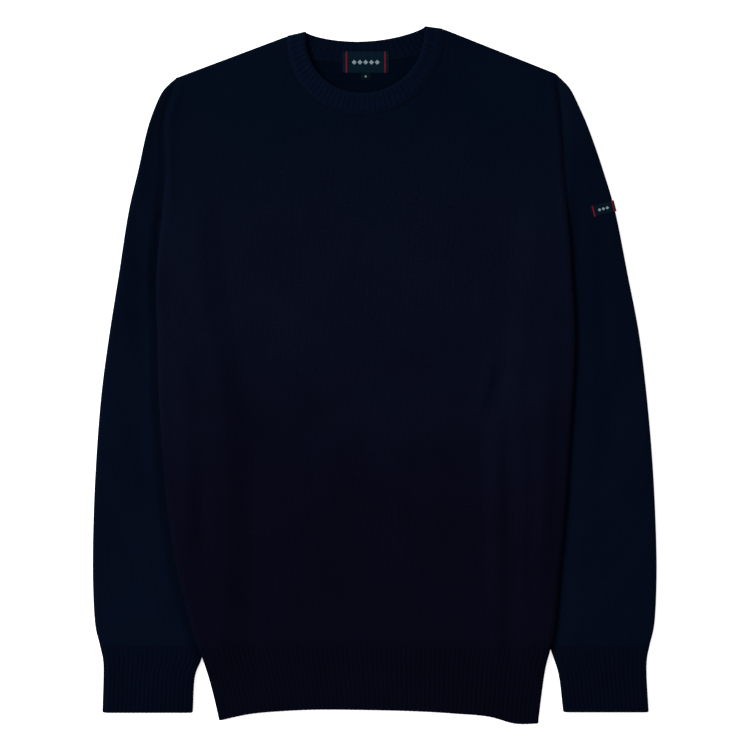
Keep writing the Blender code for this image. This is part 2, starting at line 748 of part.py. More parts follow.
def make_cuff(name, rows, side, material):
    width = abs(rows[0].outer_x - rows[0].inner_x)
    places, heights = ribs_between(FOLD_ROLL, width - FOLD_ROLL, RIB_PITCH)
    between = width - 2.0 * FOLD_ROLL
    columns = ring_columns([(place - FOLD_ROLL) / between for place in places[1:-1]], inner_shares(3))
    raised = np.zeros(len(columns))
    first = len(ROLL_STEPS)
    raised[first : first + len(heights) - 2] = np.array(heights[1:-1]) * RIB_RAISE
    sections = sections_along(rows, CUFF_STATIONS)
    grid = [tube_ring(*fold_ends(section, side), columns, RIB) for section in sections]
    raised = np.tile(raised, (len(sections), 1))
    return cloth_wall(name, np.array(grid), RIB, material, raised, closed=True)


def make_neck_rib(material):
    """The neckband: a ring whose front half lies on the front and whose back half on the back.

    The back half's outer side rests on the surface, so its ribs stand on the side that shows.
    """
    half = math.pi
    front_turns, front_raise = ribs_between(0.03 * half, 0.97 * half, 0.94 * half / NECK_RIBS_FRONT)
    back_turns, back_raise = ribs_between(1.08 * half, 1.92 * half, 0.84 * half / NECK_RIBS_BACK)
    before = [0.0, 0.008 * half, 0.018 * half]
    between = [0.982 * half, 0.992 * half, half, 1.02 * half, 1.05 * half]
    after = [1.95 * half, 1.98 * half]
    turns = np.array(before + front_turns + between + back_turns + after)
    front_ribs = [0.0] * len(before) + front_raise + [0.0] * (len(between) + len(back_turns) + len(after))
    back_ribs = [0.0] * (len(turns) - len(back_turns) - len(after)) + back_raise + [0.0] * len(after)
    grid = np.zeros((NECK_ROWS, len(turns), 3))
    for i in range(NECK_ROWS):
        share = i / (NECK_ROWS - 1)
        x, y = neck_point(turns, share)
        below = NECK_Y + FREE_RISE * share + NECK_SLOPE * (x - NECK_X) - y
        arch = roll_share(below)
        x = x + (0.5 * RIB + SEAM_GAP) * np.cos(turns) * (1.0 - arch)
        arch = np.where(np.sin(turns) >= 0.0, arch, -arch)
        stand = NECK_STAND * math.sin(math.pi * (ARCH_FROM + ARCH_SPAN * share))
        top = front_middle(x, y) + stand
        low = 0.5 * RIB
        middle = 0.5 * (top + low)
        z = np.where(arch >= 0.0, middle + (top - middle) * arch, middle + (middle - low) * arch)
        grid[i] = np.stack([x, y, z], axis=1)
    raised = np.tile(np.array(front_ribs) * RIB_RAISE, (NECK_ROWS, 1))
    inside = np.tile(np.array(back_ribs) * RIB_RAISE, (NECK_ROWS, 1))
    return cloth_wall("neck_rib", grid, RIB, material, raised, inside, closed=True)


def surface_below(pieces):
    """A function that gives the highest level of some pieces at a place."""
    trees = []
    for piece in pieces:
        points = [vertex.co.copy() for vertex in piece.data.vertices]
        faces = [tuple(face.vertices) for face in piece.data.polygons]
        trees.append(BVHTree.FromPolygons(points, faces))

    def level(x, y):
        start = Vector((x * MM, y * MM, 1.0))
        hits = [tree.ray_cast(start, Vector((0.0, 0.0, -1.0)))[0] for tree in trees]
        levels = [hit.z / MM for hit in hits if hit is not None]
        return max(levels) if levels else None

    return level


def make_label(name, centre, width, height, turn, level, material, steps=(6, 4)):
    """A thin woven label that lies a seam's gap above what carries it."""
    across, up = steps
    cos = math.cos(turn)
    sin = math.sin(turn)
    grid = np.zeros((up + 1, across + 1, 3))
    for i in range(up + 1):
        for j in range(across + 1):
            u = (j / across - 0.5) * width
            v = (i / up - 0.5) * height
            x = centre[0] + u * cos - v * sin
            y = centre[1] + u * sin + v * cos
            around = [
                level(x + dx, y + dy)
                for dx in (-LABEL_REACH, 0.0, LABEL_REACH)
                for dy in (-LABEL_REACH, 0.0, LABEL_REACH)
            ]
            highest = max(value for value in around if value is not None)
            grid[i, j] = (x, y, highest + SEAM_GAP + 0.5 * LABEL)
    return cloth_wall(name, grid, LABEL, material)


KNIT_NAVY = cloth("wool_jersey_navy", (0.0060, 0.0085, 0.0190), 0.92)
RIB_NAVY = cloth("wool_rib_navy", (0.0048, 0.0068, 0.0152), 0.94)
LABEL_TEAL = cloth("woven_label_teal", (0.0060, 0.0250, 0.0330), 0.7)
TAB_DARK = cloth("woven_tab_dark", (0.0080, 0.0100, 0.0140), 0.75)

front = make_panel("front_panel", FRONT_ROWS, front_middle, 1.0, KNIT_NAVY)
back = make_panel("back_panel", BACK_ROWS, back_middle, -1.0, KNIT_NAVY)
make_sleeve("sleeve_right", SLEEVE_RIGHT, -1.0, KNIT_NAVY)
sleeve_left = make_sleeve("sleeve_left", SLEEVE_LEFT, 1.0, KNIT_NAVY)
make_cuff("cuff_right", CUFF_RIGHT, -1.0, RIB_NAVY)
make_cuff("cuff_left", CUFF_LEFT, 1.0, RIB_NAVY)
make_hem("hem_rib_front", True, front_middle, 1.0, RIB_NAVY)
make_hem("hem_rib_back", False, back_middle, -1.0, RIB_NAVY)
neck = make_neck_rib(RIB_NAVY)

inside_back = surface_below([back, neck])
label_middle = NECK_LABEL_TOP - 0.5 * NECK_LABEL_HEIGHT
make_label(
    "neck_label", (NECK_LABEL_X, label_middle), NECK_LABEL_WIDTH, NECK_LABEL_HEIGHT, 0.0,
    inside_back, LABEL_TEAL,
)
tab_middle = NECK_LABEL_TOP - NECK_LABEL_HEIGHT - SEAM_GAP - 0.5 * SIZE_TAB_HEIGHT
make_label(
    "size_tab", (NECK_LABEL_X, tab_middle), SIZE_TAB_WIDTH, SIZE_TAB_HEIGHT, 0.0,
    inside_back, TAB_DARK, (2, 2),
)
make_label(
    "sleeve_label", (SLEEVE_LABEL_X, SLEEVE_LABEL_Y), SLEEVE_LABEL_WIDTH, SLEEVE_LABEL_HEIGHT,
    SLEEVE_LABEL_TURN, surface_below([sleeve_left]), LABEL_TEAL,
)
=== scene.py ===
# %% [markdown]
# # A crewneck sweater, laid out flat
#
# The sweater is fine wool in near-black navy, cut out on white and seen from straight above. The
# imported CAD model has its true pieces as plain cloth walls. This script loads that model as a fixed
# frame and gives each piece a finer sheet of knit on the same form, with ribs, linking stitches,
# labels and soft creases. Nothing is resized: the outline tables below repeat the CAD source's own
# numbers. Only some heights and creases and the cuffs' narrowest rows were tuned further, by
# comparing renders with the photograph.

import math

import bpy
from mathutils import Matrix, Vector
from mathutils.bvhtree import BVHTree
import numpy as np


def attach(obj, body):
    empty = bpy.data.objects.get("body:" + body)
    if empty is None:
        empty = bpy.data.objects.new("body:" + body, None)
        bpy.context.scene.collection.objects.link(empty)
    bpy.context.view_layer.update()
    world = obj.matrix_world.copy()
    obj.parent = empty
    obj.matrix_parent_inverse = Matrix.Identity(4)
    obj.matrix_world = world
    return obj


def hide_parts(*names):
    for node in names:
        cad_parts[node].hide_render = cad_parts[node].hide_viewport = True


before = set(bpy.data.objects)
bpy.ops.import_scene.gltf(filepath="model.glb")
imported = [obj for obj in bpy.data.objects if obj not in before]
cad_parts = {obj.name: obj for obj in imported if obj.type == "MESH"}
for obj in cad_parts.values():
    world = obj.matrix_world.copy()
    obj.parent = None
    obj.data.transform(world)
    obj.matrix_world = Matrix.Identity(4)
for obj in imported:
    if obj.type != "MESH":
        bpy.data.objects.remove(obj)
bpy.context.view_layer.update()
MM = 0.001

# %% [markdown]
# ## Curves through a table
#
# A garment's outline is a list of measured places joined by smooth curves. Blender's own curves
# could hold them, but the same numbers are also needed as plain functions, to know how far any
# point of cloth is from an edge. So one function draws a cubic through a table, and another gives
# the soft step that every ramp and fade below is made with.

# %% Smooth steps and curves
def smooth_step(low, high, value):
    share = np.clip((value - low) / (high - low), 0.0, 1.0)
    return share * share * (3.0 - 2.0 * share)


def curve_through(keys, values, at):
    keys = np.asarray(keys, float)
    values = np.asarray(values, float)
    slopes = np.gradient(values, keys)
    at = np.clip(at, keys[0], keys[-1])
    place = np.clip(np.searchsorted(keys, at, side="right") - 1, 0, len(keys) - 2)
    span = keys[place + 1] - keys[place]
    share = (at - keys[place]) / span
    rest = 1.0 - share
    start = rest * rest * ((1.0 + 2.0 * share) * values[place] + share * span * slopes[place])
    end = share * share * ((3.0 - 2.0 * share) * values[place + 1] - rest * span * slopes[place + 1])
    return start + end


def column_curve(table, column, at):
    return curve_through([row[0] for row in table], [row[column] for row in table], at)


# %% [markdown]
# ## The body's outline
#
# These rows give the body's left and right edge at heights from the hem's lower corners to the
# shoulder points, in millimetres. The sides lie over the sleeves, so the second table says where
# the cloth comes down off them again, towards the middle.

# %% Outline of the body
BODY_EDGE = [
    # y, left, right
    (-344.0, -155.5, 163.5),
    (-316.0, -162.0, 167.0),
    (-290.0, -169.5, 171.0),
    (-266.0, -177.5, 177.0),
    (-200.0, -195.5, 184.0),
    (-140.0, -205.5, 189.5),
    (-80.0, -211.0, 193.5),
    (-20.0, -215.0, 197.5),
    (40.0, -216.5, 200.0),
    (95.0, -218.0, 197.0),
    (150.0, -213.0, 193.5),
    (200.0, -208.5, 189.0),
    (258.0, -208.5, 185.5),
    (297.0, -196.5, 180.5),
]
HEM_LINE = [
    # x, y
    (-155.5, -344.5),
    (-128.0, -338.5),
    (-84.0, -334.5),
    (-5.0, -334.0),
    (80.0, -337.5),
    (116.0, -341.0),
    (140.0, -347.5),
    (163.5, -347.5),
]
LEFT_SHOULDER = (-196.5, 296.8)
RIGHT_SHOULDER = (180.5, 300.5)
HEM_SEAM = -266.0


def left_edge(y):
    return column_curve(BODY_EDGE, 1, y)


def right_edge(y):
    return column_curve(BODY_EDGE, 2, y)


def hem_line(x):
    return column_curve(HEM_LINE, 1, x)


HEM_LEFT = float(left_edge(HEM_SEAM))
HEM_RIGHT = float(right_edge(HEM_SEAM))
print("chest width in mm:", round(float(right_edge(95.0) - left_edge(95.0)), 1))

# %% How high the body lies over the sleeves
LIFT_LINE = [
    # y, left, right
    (-344.0, -152.0, 160.0),
    (-248.0, -154.0, 156.0),
    (-200.0, -151.0, 146.0),
    (-130.0, -150.0, 139.0),
    (-60.0, -153.0, 139.0),
    (0.0, -160.0, 146.0),
    (80.0, -176.0, 158.0),
    (195.0, -185.0, 168.0),
]
BODY_OVER_SLEEVE = 5.6
LIFT_RAMP = 32.0
JOINED_ABOVE = 195.0
OVER_BELOW = 135.0
HEM_DOWN_FROM = -268.0
HEM_DOWN_TO = -306.0


def body_lift(x, y):
    """The level of the body's underside."""
    left = 1.0 - smooth_step(0.0, LIFT_RAMP, x - column_curve(LIFT_LINE, 1, y))
    right = 1.0 - smooth_step(0.0, LIFT_RAMP, column_curve(LIFT_LINE, 2, y) - x)
    below_armhole = 1.0 - smooth_step(OVER_BELOW, JOINED_ABOVE, y)
    above_hem = smooth_step(HEM_DOWN_TO, HEM_DOWN_FROM, y)
    return BODY_OVER_SLEEVE * below_armhole * above_hem * np.maximum(left, right)


# %% [markdown]
# ## Creases
#
# Cloth that was smoothed flat by hand keeps long soft troughs and ridges. A cloth simulation of a thing
# this flat gives little, so each crease is drawn where the photograph shows it: a bell across its line,
# fading at both ends. A second table holds the finer ones, and a slow wave keeps the places between them
# from being dead flat.

# %% Creases of the body and the sleeves
FRONT_FOLDS = [
    # x0, y0, x1, y1, width, height: a trough has a negative height
    (132.0, -14.0, 137.5, -262.0, 9.5, -2.6),
    (171.0, 10.0, 166.0, -225.0, 10.0, 3.2),
    (119.0, -52.0, 123.0, -262.0, 8.0, 2.3),
    (119.0, 20.0, 104.5, -36.0, 5.0, 2.6),
    (129.0, 4.0, 118.0, -40.0, 6.0, -1.6),
    (-174.0, -95.0, -173.0, -190.0, 9.0, -1.9),
    (-190.0, 20.0, -186.0, -150.0, 11.0, 1.8),
    (-160.0, -195.0, -66.0, -272.0, 7.5, -2.2),
    (-148.0, -172.0, -70.0, -238.0, 8.0, 1.7),
    (-120.0, 260.0, -60.0, 150.0, 26.0, 1.6),
    (105.0, 255.0, 60.0, 140.0, 26.0, 1.4),
]
FRONT_CREASES = [
    (-193.0, 290.0, -203.5, 256.0, 3.5, 1.2),
    (-203.5, 262.0, -204.0, 160.0, 3.5, 1.2),
    (177.0, 290.0, 181.0, 256.0, 3.5, 0.9),
    (180.5, 262.0, 188.0, 160.0, 3.5, 1.0),
    (150.0, -60.0, 147.0, -230.0, 5.0, 0.5),
    (96.0, 60.0, 84.0, -70.0, 9.0, -0.5),
    (-80.0, -120.0, -40.0, -250.0, 14.0, 0.5),
    (-30.0, -190.0, 20.0, -262.0, 12.0, -0.5),
    (60.0, -150.0, 75.0, -262.0, 13.0, 0.5),
    (-130.0, 60.0, -120.0, -90.0, 15.0, -0.5),
    (-60.0, 240.0, 40.0, 210.0, 9.0, 0.45),
    (-160.0, 180.0, -90.0, 120.0, 11.0, -0.5),
    (140.0, 190.0, 90.0, 110.0, 11.0, -0.5),
]
BACK_CREASES = [
    (-120.0, 150.0, -60.0, 60.0, 14.0, 0.7),
    (90.0, 180.0, 40.0, 90.0, 15.0, 0.6),
    (-90.0, -60.0, -70.0, -240.0, 12.0, 0.7),
    (70.0, -40.0, 85.0, -250.0, 13.0, 0.7),
    (-20.0, 120.0, 10.0, -80.0, 18.0, 0.5),
]
SLEEVE_FOLDS = [
    (-238.0, 150.0, -232.0, 20.0, 9.0, -1.4),
    (-243.0, -30.0, -226.0, -120.0, 10.0, -1.2),
    (-262.0, -150.0, -236.0, -190.0, 8.0, -1.0),
    (224.0, 150.0, 226.0, 20.0, 9.0, -1.4),
    (240.0, -20.0, 224.0, -120.0, 10.0, -1.2),
    (262.0, -160.0, 232.0, -200.0, 8.0, -1.0),
]
SLEEVE_CREASES = [
    (-222.0, 240.0, -240.0, 170.0, 6.0, 0.5),
    (-250.0, 60.0, -236.0, -10.0, 6.0, 0.5),
    (-266.0, -90.0, -240.0, -150.0, 6.0, 0.5),
    (-268.0, -215.0, -232.0, -245.0, 6.0, -0.5),
    (205.0, 250.0, 226.0, 190.0, 6.0, 0.5),
    (246.0, 70.0, 236.0, 0.0, 6.0, 0.5),
    (262.0, -80.0, 236.0, -140.0, 6.0, 0.5),
    (268.0, -220.0, 230.0, -248.0, 6.0, -0.5),
]
FOLD_FADE = 0.3


def fold_height(folds, x, y):
    height = np.zeros(np.shape(x))
    for x0, y0, x1, y1, width, rise in folds:
        length = math.hypot(x1 - x0, y1 - y0)
        along = ((x - x0) * (x1 - x0) + (y - y0) * (y1 - y0)) / length
        across = ((x - x0) * (y1 - y0) - (y - y0) * (x1 - x0)) / length
        fade = length * FOLD_FADE
        ends = smooth_step(-fade, fade, along) * (1.0 - smooth_step(length - fade, length + fade, along))
        height = height + rise * ends * np.exp(-((across / width) ** 2))
    return height


# %% The slow wave between the creases
SLOW_WAVE = 0.22
QUICK_WAVE = 0.07


def unevenness(x, y):
    slow = np.sin(x / 27.0 + 1.4 * np.sin(y / 41.0)) * np.sin(y / 33.0 + 0.9 * np.sin(x / 49.0))
    quick = np.sin(x / 9.5 + 1.1 * np.sin(y / 17.0)) * np.sin(y / 12.0 + 1.3 * np.sin(x / 21.0))
    return SLOW_WAVE * slow + QUICK_WAVE * quick


# %% [markdown]
# ## The neck
#
# The neckband is one ring: its front half dips low over the chest and its back half stays high and
# shows its inside. Two rounded rings, the seam and the free edge, share one formula, so a share
# from 0 to 1 slides between them. Raising the sine to a power makes the curve fuller or more
# pointed than an ellipse, as a knitted neckline is.

# %% Rings of the neck
NECK_X = -9.5
NECK_Y = 341.0
NECK_SLOPE = 0.045
FREE_HALF_WIDTH = 60.5
FREE_FRONT_DEPTH = 64.0
FREE_BACK_DEPTH = 12.0
FREE_BACK_ROUNDNESS = 1.7
FREE_RISE = 3.2
SEAM_HALF_WIDTH = 78.0
SEAM_FRONT_DEPTH = 80.5
SEAM_BACK_DEPTH = 28.0
SEAM_BACK_ROUNDNESS = 0.7
FRONT_ROUNDNESS = 0.92
NECK_PUFF = 1.6
NECK_PUFF_REACH = 45.0


def neck_point(turn, share, room=0.0):
    """A place on the neckband. Turn 0 is the left neck point and half a turn the right one."""
    half = SEAM_HALF_WIDTH + (FREE_HALF_WIDTH - SEAM_HALF_WIDTH) * share + room
    front_depth = SEAM_FRONT_DEPTH + (FREE_FRONT_DEPTH - SEAM_FRONT_DEPTH) * share + room
    back_depth = SEAM_BACK_DEPTH + (FREE_BACK_DEPTH - SEAM_BACK_DEPTH) * share + room
    back_roundness = SEAM_BACK_ROUNDNESS + (FREE_BACK_ROUNDNESS - SEAM_BACK_ROUNDNESS) * share
    height = np.abs(np.sin(turn))
    front = front_depth * height**FRONT_ROUNDNESS
    back = back_depth * height**back_roundness
    x = NECK_X - half * np.cos(turn)
    y = NECK_Y + FREE_RISE * share + NECK_SLOPE * (x - NECK_X)
    return x, y - np.where(np.sin(turn) >= 0.0, front, back)


def neck_puff(x, y):
    reach = np.hypot((x - NECK_X) / SEAM_HALF_WIDTH, (y - NECK_Y) / SEAM_FRONT_DEPTH)
    return NECK_PUFF * (1.0 - smooth_step(0.0, NECK_PUFF_REACH, (reach - 1.0) * SEAM_FRONT_DEPTH))


print("neck opening in mm:", 2.0 * FREE_HALF_WIDTH, "wide,", FREE_FRONT_DEPTH, "deep")

# %% [markdown]
# ## Levels of the cloth
#
# The sweater lies in layers: back, a little air, front, and a flattened sleeve under each side.
# Each layer's level is a function of the place, so every sheet below can ask for the height of its
# own middle and stays clear of the next one. Beside the body a sleeve is pressed down, and near the
# underarm it lies snug against the body's underside, so that no light shows between them.

# %% Levels of the layers
KNIT = 1.6
RIB = 1.8
SEAM_GAP = 0.12
FRONT_BACK_AIR = 2.6
SLEEVE_FREE_TOP = 7.4
SLEEVE_PRESSED_TOP = 4.6
PRESS_REACH_RIGHT = 11.0
PRESS_REACH_LEFT = 24.0
SEAM_VALLEY = 0.8
VALLEY_WIDTH = 8.0
UNDERARM_RISE = 0.8
UNDERARM_REACH = 10.0
UNDERARM_FROM = (160.0, 165.0)
UNDERARM_TO = (168.0, 184.0)
TUCK_BELOW = 163.0
TUCK_RAMP = 3.0
TUCK_REACH = 4.0
TUCK_AIR = 0.15
FLATTEST_SLEEVE = 3.4
SNUG_FROM = 112.0
SNUG_FULL = 130.0
FOLD_ROLL = 6.0
LEAST_AIR = 0.3
DEEPEST_CREASE = 0.3


def front_middle(x, y):
    folds = np.maximum(fold_height(FRONT_FOLDS, x, y), LEAST_AIR - FRONT_BACK_AIR)
    fine = fold_height(FRONT_CREASES, x, y) + unevenness(x, y)
    level = body_lift(x, y) + 1.5 * KNIT + FRONT_BACK_AIR + folds + neck_puff(x, y)
    return level + np.maximum(fine, -DEEPEST_CREASE)


def back_middle(x, y):
    return body_lift(x, y) + 0.5 * KNIT + np.maximum(fold_height(BACK_CREASES, x, y), 0.0)


def seam_level(x, y):
    return body_lift(x, y) + KNIT + 0.5 * FRONT_BACK_AIR


def sleeve_upper_middle(x, y):
    beyond_body = np.where(x < 0.0, left_edge(y) - x, x - right_edge(y))
    rise = smooth_step(0.0, np.where(x < 0.0, PRESS_REACH_RIGHT, PRESS_REACH_LEFT), beyond_body)
    folds = (fold_height(SLEEVE_FOLDS + SLEEVE_CREASES, x, y) + unevenness(x, y)) * rise
    joined = smooth_step(OVER_BELOW, JOINED_ABOVE, y)
    valley = SEAM_VALLEY * joined * (1.0 - smooth_step(0.0, VALLEY_WIDTH, beyond_body))
    at_underarm = smooth_step(*UNDERARM_FROM, y) * (1.0 - smooth_step(*UNDERARM_TO, y))
    lifted = UNDERARM_RISE * at_underarm * (1.0 - smooth_step(0.0, UNDERARM_REACH, beyond_body))
    top = SLEEVE_PRESSED_TOP + (SLEEVE_FREE_TOP - SLEEVE_PRESSED_TOP) * rise + folds + lifted - valley
    room = np.maximum(body_lift(x, y) - TUCK_AIR, FLATTEST_SLEEVE)
    tucked = 1.0 - smooth_step(0.0, TUCK_REACH, beyond_body)
    tucked = tucked * (1.0 - smooth_step(TUCK_BELOW - TUCK_RAMP, TUCK_BELOW, y))
    snug = smooth_step(SNUG_FROM, SNUG_FULL, y)
    under_body = np.minimum(top, room) * (1.0 - snug) + room * snug
    return top + (under_body - top) * tucked - 0.5 * KNIT


def roll_share(distance):
    """The quarter-round by which cloth rolls down to a fold: 0 at the fold, 1 from FOLD_ROLL on."""
    rest = 1.0 - np.clip(distance / FOLD_ROLL, 0.0, 1.0)
    return np.sqrt(1.0 - rest * rest)


# %% [markdown]
# ## From a grid of points to a sheet of cloth
#
# Each piece is a grid of points in the middle of its cloth. Solidify could thicken a single sheet,
# but a wall built here gets exact clearances, a rounded free edge where a band ends, and a UV map
# in real metres that follows the knitting: U across the wales and V along them. The direction out
# of the cloth comes from each point's neighbours. Where two pieces meet in a fold, the missing
# neighbour is mirrored, so the cloth stands upright at the seam. The edges of a wall's ends are
# marked sharp, or smooth shading would draw a dark line beside every join.

# %% Direction out of the cloth
def beyond_edge(edge, inner, mirrored):
    straight = 2.0 * edge - inner
    mirror = inner.copy()
    mirror[:, 2] = 2.0 * edge[:, 2] - inner[:, 2]
    return straight + (mirror - straight) * mirrored[:, None]


def grid_normals(grid, closed, mirrored_columns=None, mirrored_rows=None):
    rows, columns = grid.shape[:2]
    column_share = np.zeros(rows) if mirrored_columns is None else mirrored_columns
    row_share = np.zeros(columns) if mirrored_rows is None else mirrored_rows
    if closed:
        before = grid[:, -1]
        after = grid[:, 0]
    else:
        before = beyond_edge(grid[:, 0], grid[:, 1], column_share)
        after = beyond_edge(grid[:, -1], grid[:, -2], column_share)
    wide = np.concatenate([before[:, None], grid, after[:, None]], axis=1)
    below = 2.0 * grid[0] - grid[1]
    above = beyond_edge(grid[-1], grid[-2], row_share)
    tall = np.concatenate([below[None], grid, above[None]], axis=0)
    normals = np.cross(wide[:, 2:] - wide[:, :-2], tall[2:] - tall[:-2])
    return normals / np.linalg.norm(normals, axis=2, keepdims=True)


# %% Lengths along the cloth, for its UV map
ALL_ROUND = (1.0, 1.0, 1.0)
LEVEL_ROWS = (1.0, 0.0, 1.0)


def lengths_across(grid, closed, start_column, axes):
    """How far each point lies from a column, measured over the cloth along its row.

    On a panel the rows climb to the shoulders but the wales stay upright, so Y is left out.
    """
    ring = np.concatenate([grid, grid[:, :1]], axis=1) if closed else grid
    steps = np.linalg.norm(np.diff(ring, axis=1) * axes, axis=2)
    lengths = np.concatenate([np.zeros((len(grid), 1)), np.cumsum(steps, axis=1)], axis=1)
    return lengths - lengths[:, start_column : start_column + 1]


def lengths_along(grid):
    steps = np.linalg.norm(np.diff(grid, axis=0), axis=2)
    return np.concatenate([np.zeros((1, grid.shape[1])), np.cumsum(steps, axis=0)], axis=0)


# %% Faces of a wall
def wall_faces(rows, columns, closed):
    """Faces as (row, column) places: layer 0 is the outer side, 1 the inner one, 2 the two ends.

    On layer 2 row 0 is the middle of the lower end and row 1 the middle of the upper end.
    """
    faces = []
    steps = columns if closed else columns - 1
    last = rows - 1
    for j in range(steps):
        k = j + 1
        for i in range(last):
            faces.append(((0, i, j), (0, i, k), (0, i + 1, k), (0, i + 1, j)))
            faces.append(((1, i, j), (1, i + 1, j), (1, i + 1, k), (1, i, k)))
        faces.append(((0, 0, j), (2, 0, j), (2, 0, k), (0, 0, k)))
        faces.append(((2, 0, j), (1, 0, j), (1, 0, k), (2, 0, k)))
        faces.append(((0, last, j), (0, last, k), (2, 1, k), (2, 1, j)))
        faces.append(((2, 1, j), (2, 1, k), (1, last, k), (1, last, j)))
    if not closed:
        end = columns - 1
        for i in range(last):
            faces.append(((0, i, 0), (0, i + 1, 0), (1, i + 1, 0), (1, i, 0)))
            faces.append(((0, i, end), (1, i, end), (1, i + 1, end), (0, i + 1, end)))
        faces.append(((0, 0, 0), (1, 0, 0), (2, 0, 0)))
        faces.append(((1, last, 0), (0, last, 0), (2, 1, 0)))
        faces.append(((1, 0, end), (0, 0, end), (2, 0, end)))
        faces.append(((0, last, end), (1, last, end), (2, 1, end)))
    return faces


# %% A wall of cloth
SHARP_END = math.radians(62.0)
EDGE_RIBS = 0.3


def cloth_wall(
    name, grid, thickness, closed=False, ends=(0.0, 0.0), start_column=0, axes=ALL_ROUND, ribs=None,
    **mirrored
):
    """A closed wall around a grid. ends is how far the middle of each end's edge stands out.

    ribs is (phase of each column, amount on the outer side, amount on the inner side).
    """
    rows, columns = grid.shape[:2]
    normals = grid_normals(grid, closed, **mirrored)
    outer = grid + normals * 0.5 * thickness
    inner = grid - normals * 0.5 * thickness
    low_out = grid[0] - grid[1]
    high_out = grid[-1] - grid[-2]
    low_out /= np.linalg.norm(low_out, axis=1, keepdims=True)
    high_out /= np.linalg.norm(high_out, axis=1, keepdims=True)
    edges = np.stack([grid[0] + low_out * ends[0], grid[-1] + high_out * ends[1]])
    points = np.concatenate([layer.reshape(-1, 3) for layer in (outer, inner, edges)])
    points[:, 2] = np.maximum(points[:, 2], 0.0)
    layer_start = (0, rows * columns, 2 * rows * columns)
    faces = wall_faces(rows, columns, closed)
    indices = [[layer_start[a] + i * columns + j % columns for a, i, j in face] for face in faces]
    mesh = bpy.data.meshes.new(name)
    mesh.from_pydata(points * MM, [], indices)
    across = lengths_across(grid, closed, start_column, axes) * MM
    along = lengths_along(grid) * MM
    corners = [(i * (rows - 1) if a == 2 else i, j) for face in faces for a, i, j in face]
    places = [(across[i, j], along[i, j % columns]) for i, j in corners]
    mesh.uv_layers.new(name="cloth").data.foreach_set("uv", np.array(places).ravel())
    if ribs is not None:
        phase, outer_amount, inner_amount = ribs
        phases = np.concatenate([np.tile(phase, rows), np.tile(phase + 0.5, rows), np.tile(phase, 2)])
        edge_amount = EDGE_RIBS * np.stack([outer_amount[0], outer_amount[-1]])
        amounts = np.concatenate([a.ravel() for a in (outer_amount, inner_amount, edge_amount)])
        mesh.attributes.new("rib", "FLOAT", "POINT").data.foreach_set("value", phases)
        mesh.attributes.new("rib_amount", "FLOAT", "POINT").data.foreach_set("value", amounts)
    mesh.shade_smooth()
    mesh.set_sharp_from_angle(angle=SHARP_END)
    mesh.update()
    piece = bpy.data.objects.new(name, mesh)
    bpy.context.scene.collection.objects.link(piece)
    return piece


# %% [markdown]
# ## Colours and nodes
#
# Colours are written as the hex values that a picture editor shows. Blender's shaders work in
# linear light, so one function turns them. One more adds a node with its settings, its values and
# its links. Most nodes here only count or mix, so two short forms of it give their results, which
# keeps each material below short enough to read from top to bottom.

# %% Colour and node helpers
def linear(hex_colour, alpha=1.0):
    channels = [int(hex_colour[k : k + 2], 16) / 255.0 for k in (1, 3, 5)]
    light = [c / 12.92 if c <= 0.04045 else ((c + 0.055) / 1.055) ** 2.4 for c in channels]
    return (*light, alpha)


def set_inputs(tree, node, inputs):
    for key, value in inputs.items():
        if isinstance(value, bpy.types.NodeSocket):
            tree.links.new(value, node.inputs[key])
        else:
            node.inputs[key].default_value = value


def add_node(tree, kind, inputs=None, **settings):
    node = tree.nodes.new(kind)
    for name, value in settings.items():
        setattr(node, name, value)
    set_inputs(tree, node, inputs or {})
    return node


def maths(tree, operation, *values):
    """A socket with the result of one sum. Each value is a number or another socket."""
    return add_node(tree, "ShaderNodeMath", dict(enumerate(values)), operation=operation).outputs[0]


def mixed(tree, share, first, second, **settings):
    """A socket with a colour between two others."""
    inputs = {0: share, 6: first, 7: second}
    return add_node(tree, "ShaderNodeMix", inputs, data_type="RGBA", **settings).outputs[2]


# %% A new material with its principled shader
def new_material(name):
    material = bpy.data.materials.new(name)
    material.use_nodes = True
    return material, material.node_tree, material.node_tree.nodes["Principled BSDF"]


# %% [markdown]
# ## The stitch relief
#
# Plain knitting is rows of small Vs. Each V has two legs that lean towards each other, so a wave
# along the wale is pushed up by the distance from the wale's middle, and a second wave across it
# parts the two legs. Fine-gauge wool has wales about 1.6 mm wide and courses 1.3 mm high; at one
# millimetre a pixel that would only shimmer, so the jersey's are drawn half as large again and the
# rib's a quarter to a third larger.

# %% Stitch relief from the cloth's UV map
WALE = 2.4 * MM
COURSE = 1.9 * MM
RIB_WALE = 2.0 * MM
RIB_COURSE = 1.8 * MM
LEG_SLANT = 1.1
LEG_ROUNDNESS = 0.6
COURSE_DEPTH = 0.3


def stitch_relief(tree, wale, course):
    """A socket with the height of knitted Vs, from 0 between the yarns to about 1 on them."""
    place = add_node(tree, "ShaderNodeUVMap", uv_map="cloth").outputs[0]
    parts = add_node(tree, "ShaderNodeSeparateXYZ", {0: place}).outputs
    inside = maths(tree, "FRACT", maths(tree, "MULTIPLY", parts["X"], 1.0 / wale))
    aside = maths(tree, "ABSOLUTE", maths(tree, "SUBTRACT", inside, 0.5))
    courses = maths(tree, "MULTIPLY", parts["Y"], 1.0 / course)
    slanted = maths(tree, "MULTIPLY_ADD", aside, -LEG_SLANT, courses)
    wave = maths(tree, "COSINE", maths(tree, "MULTIPLY", slanted, math.tau))
    yarn = maths(tree, "MULTIPLY_ADD", wave, COURSE_DEPTH, 1.0 - COURSE_DEPTH)
    legs = maths(tree, "SINE", maths(tree, "MULTIPLY", aside, math.tau))
    return maths(tree, "MULTIPLY", maths(tree, "POWER", legs, LEG_ROUNDNESS), yarn)
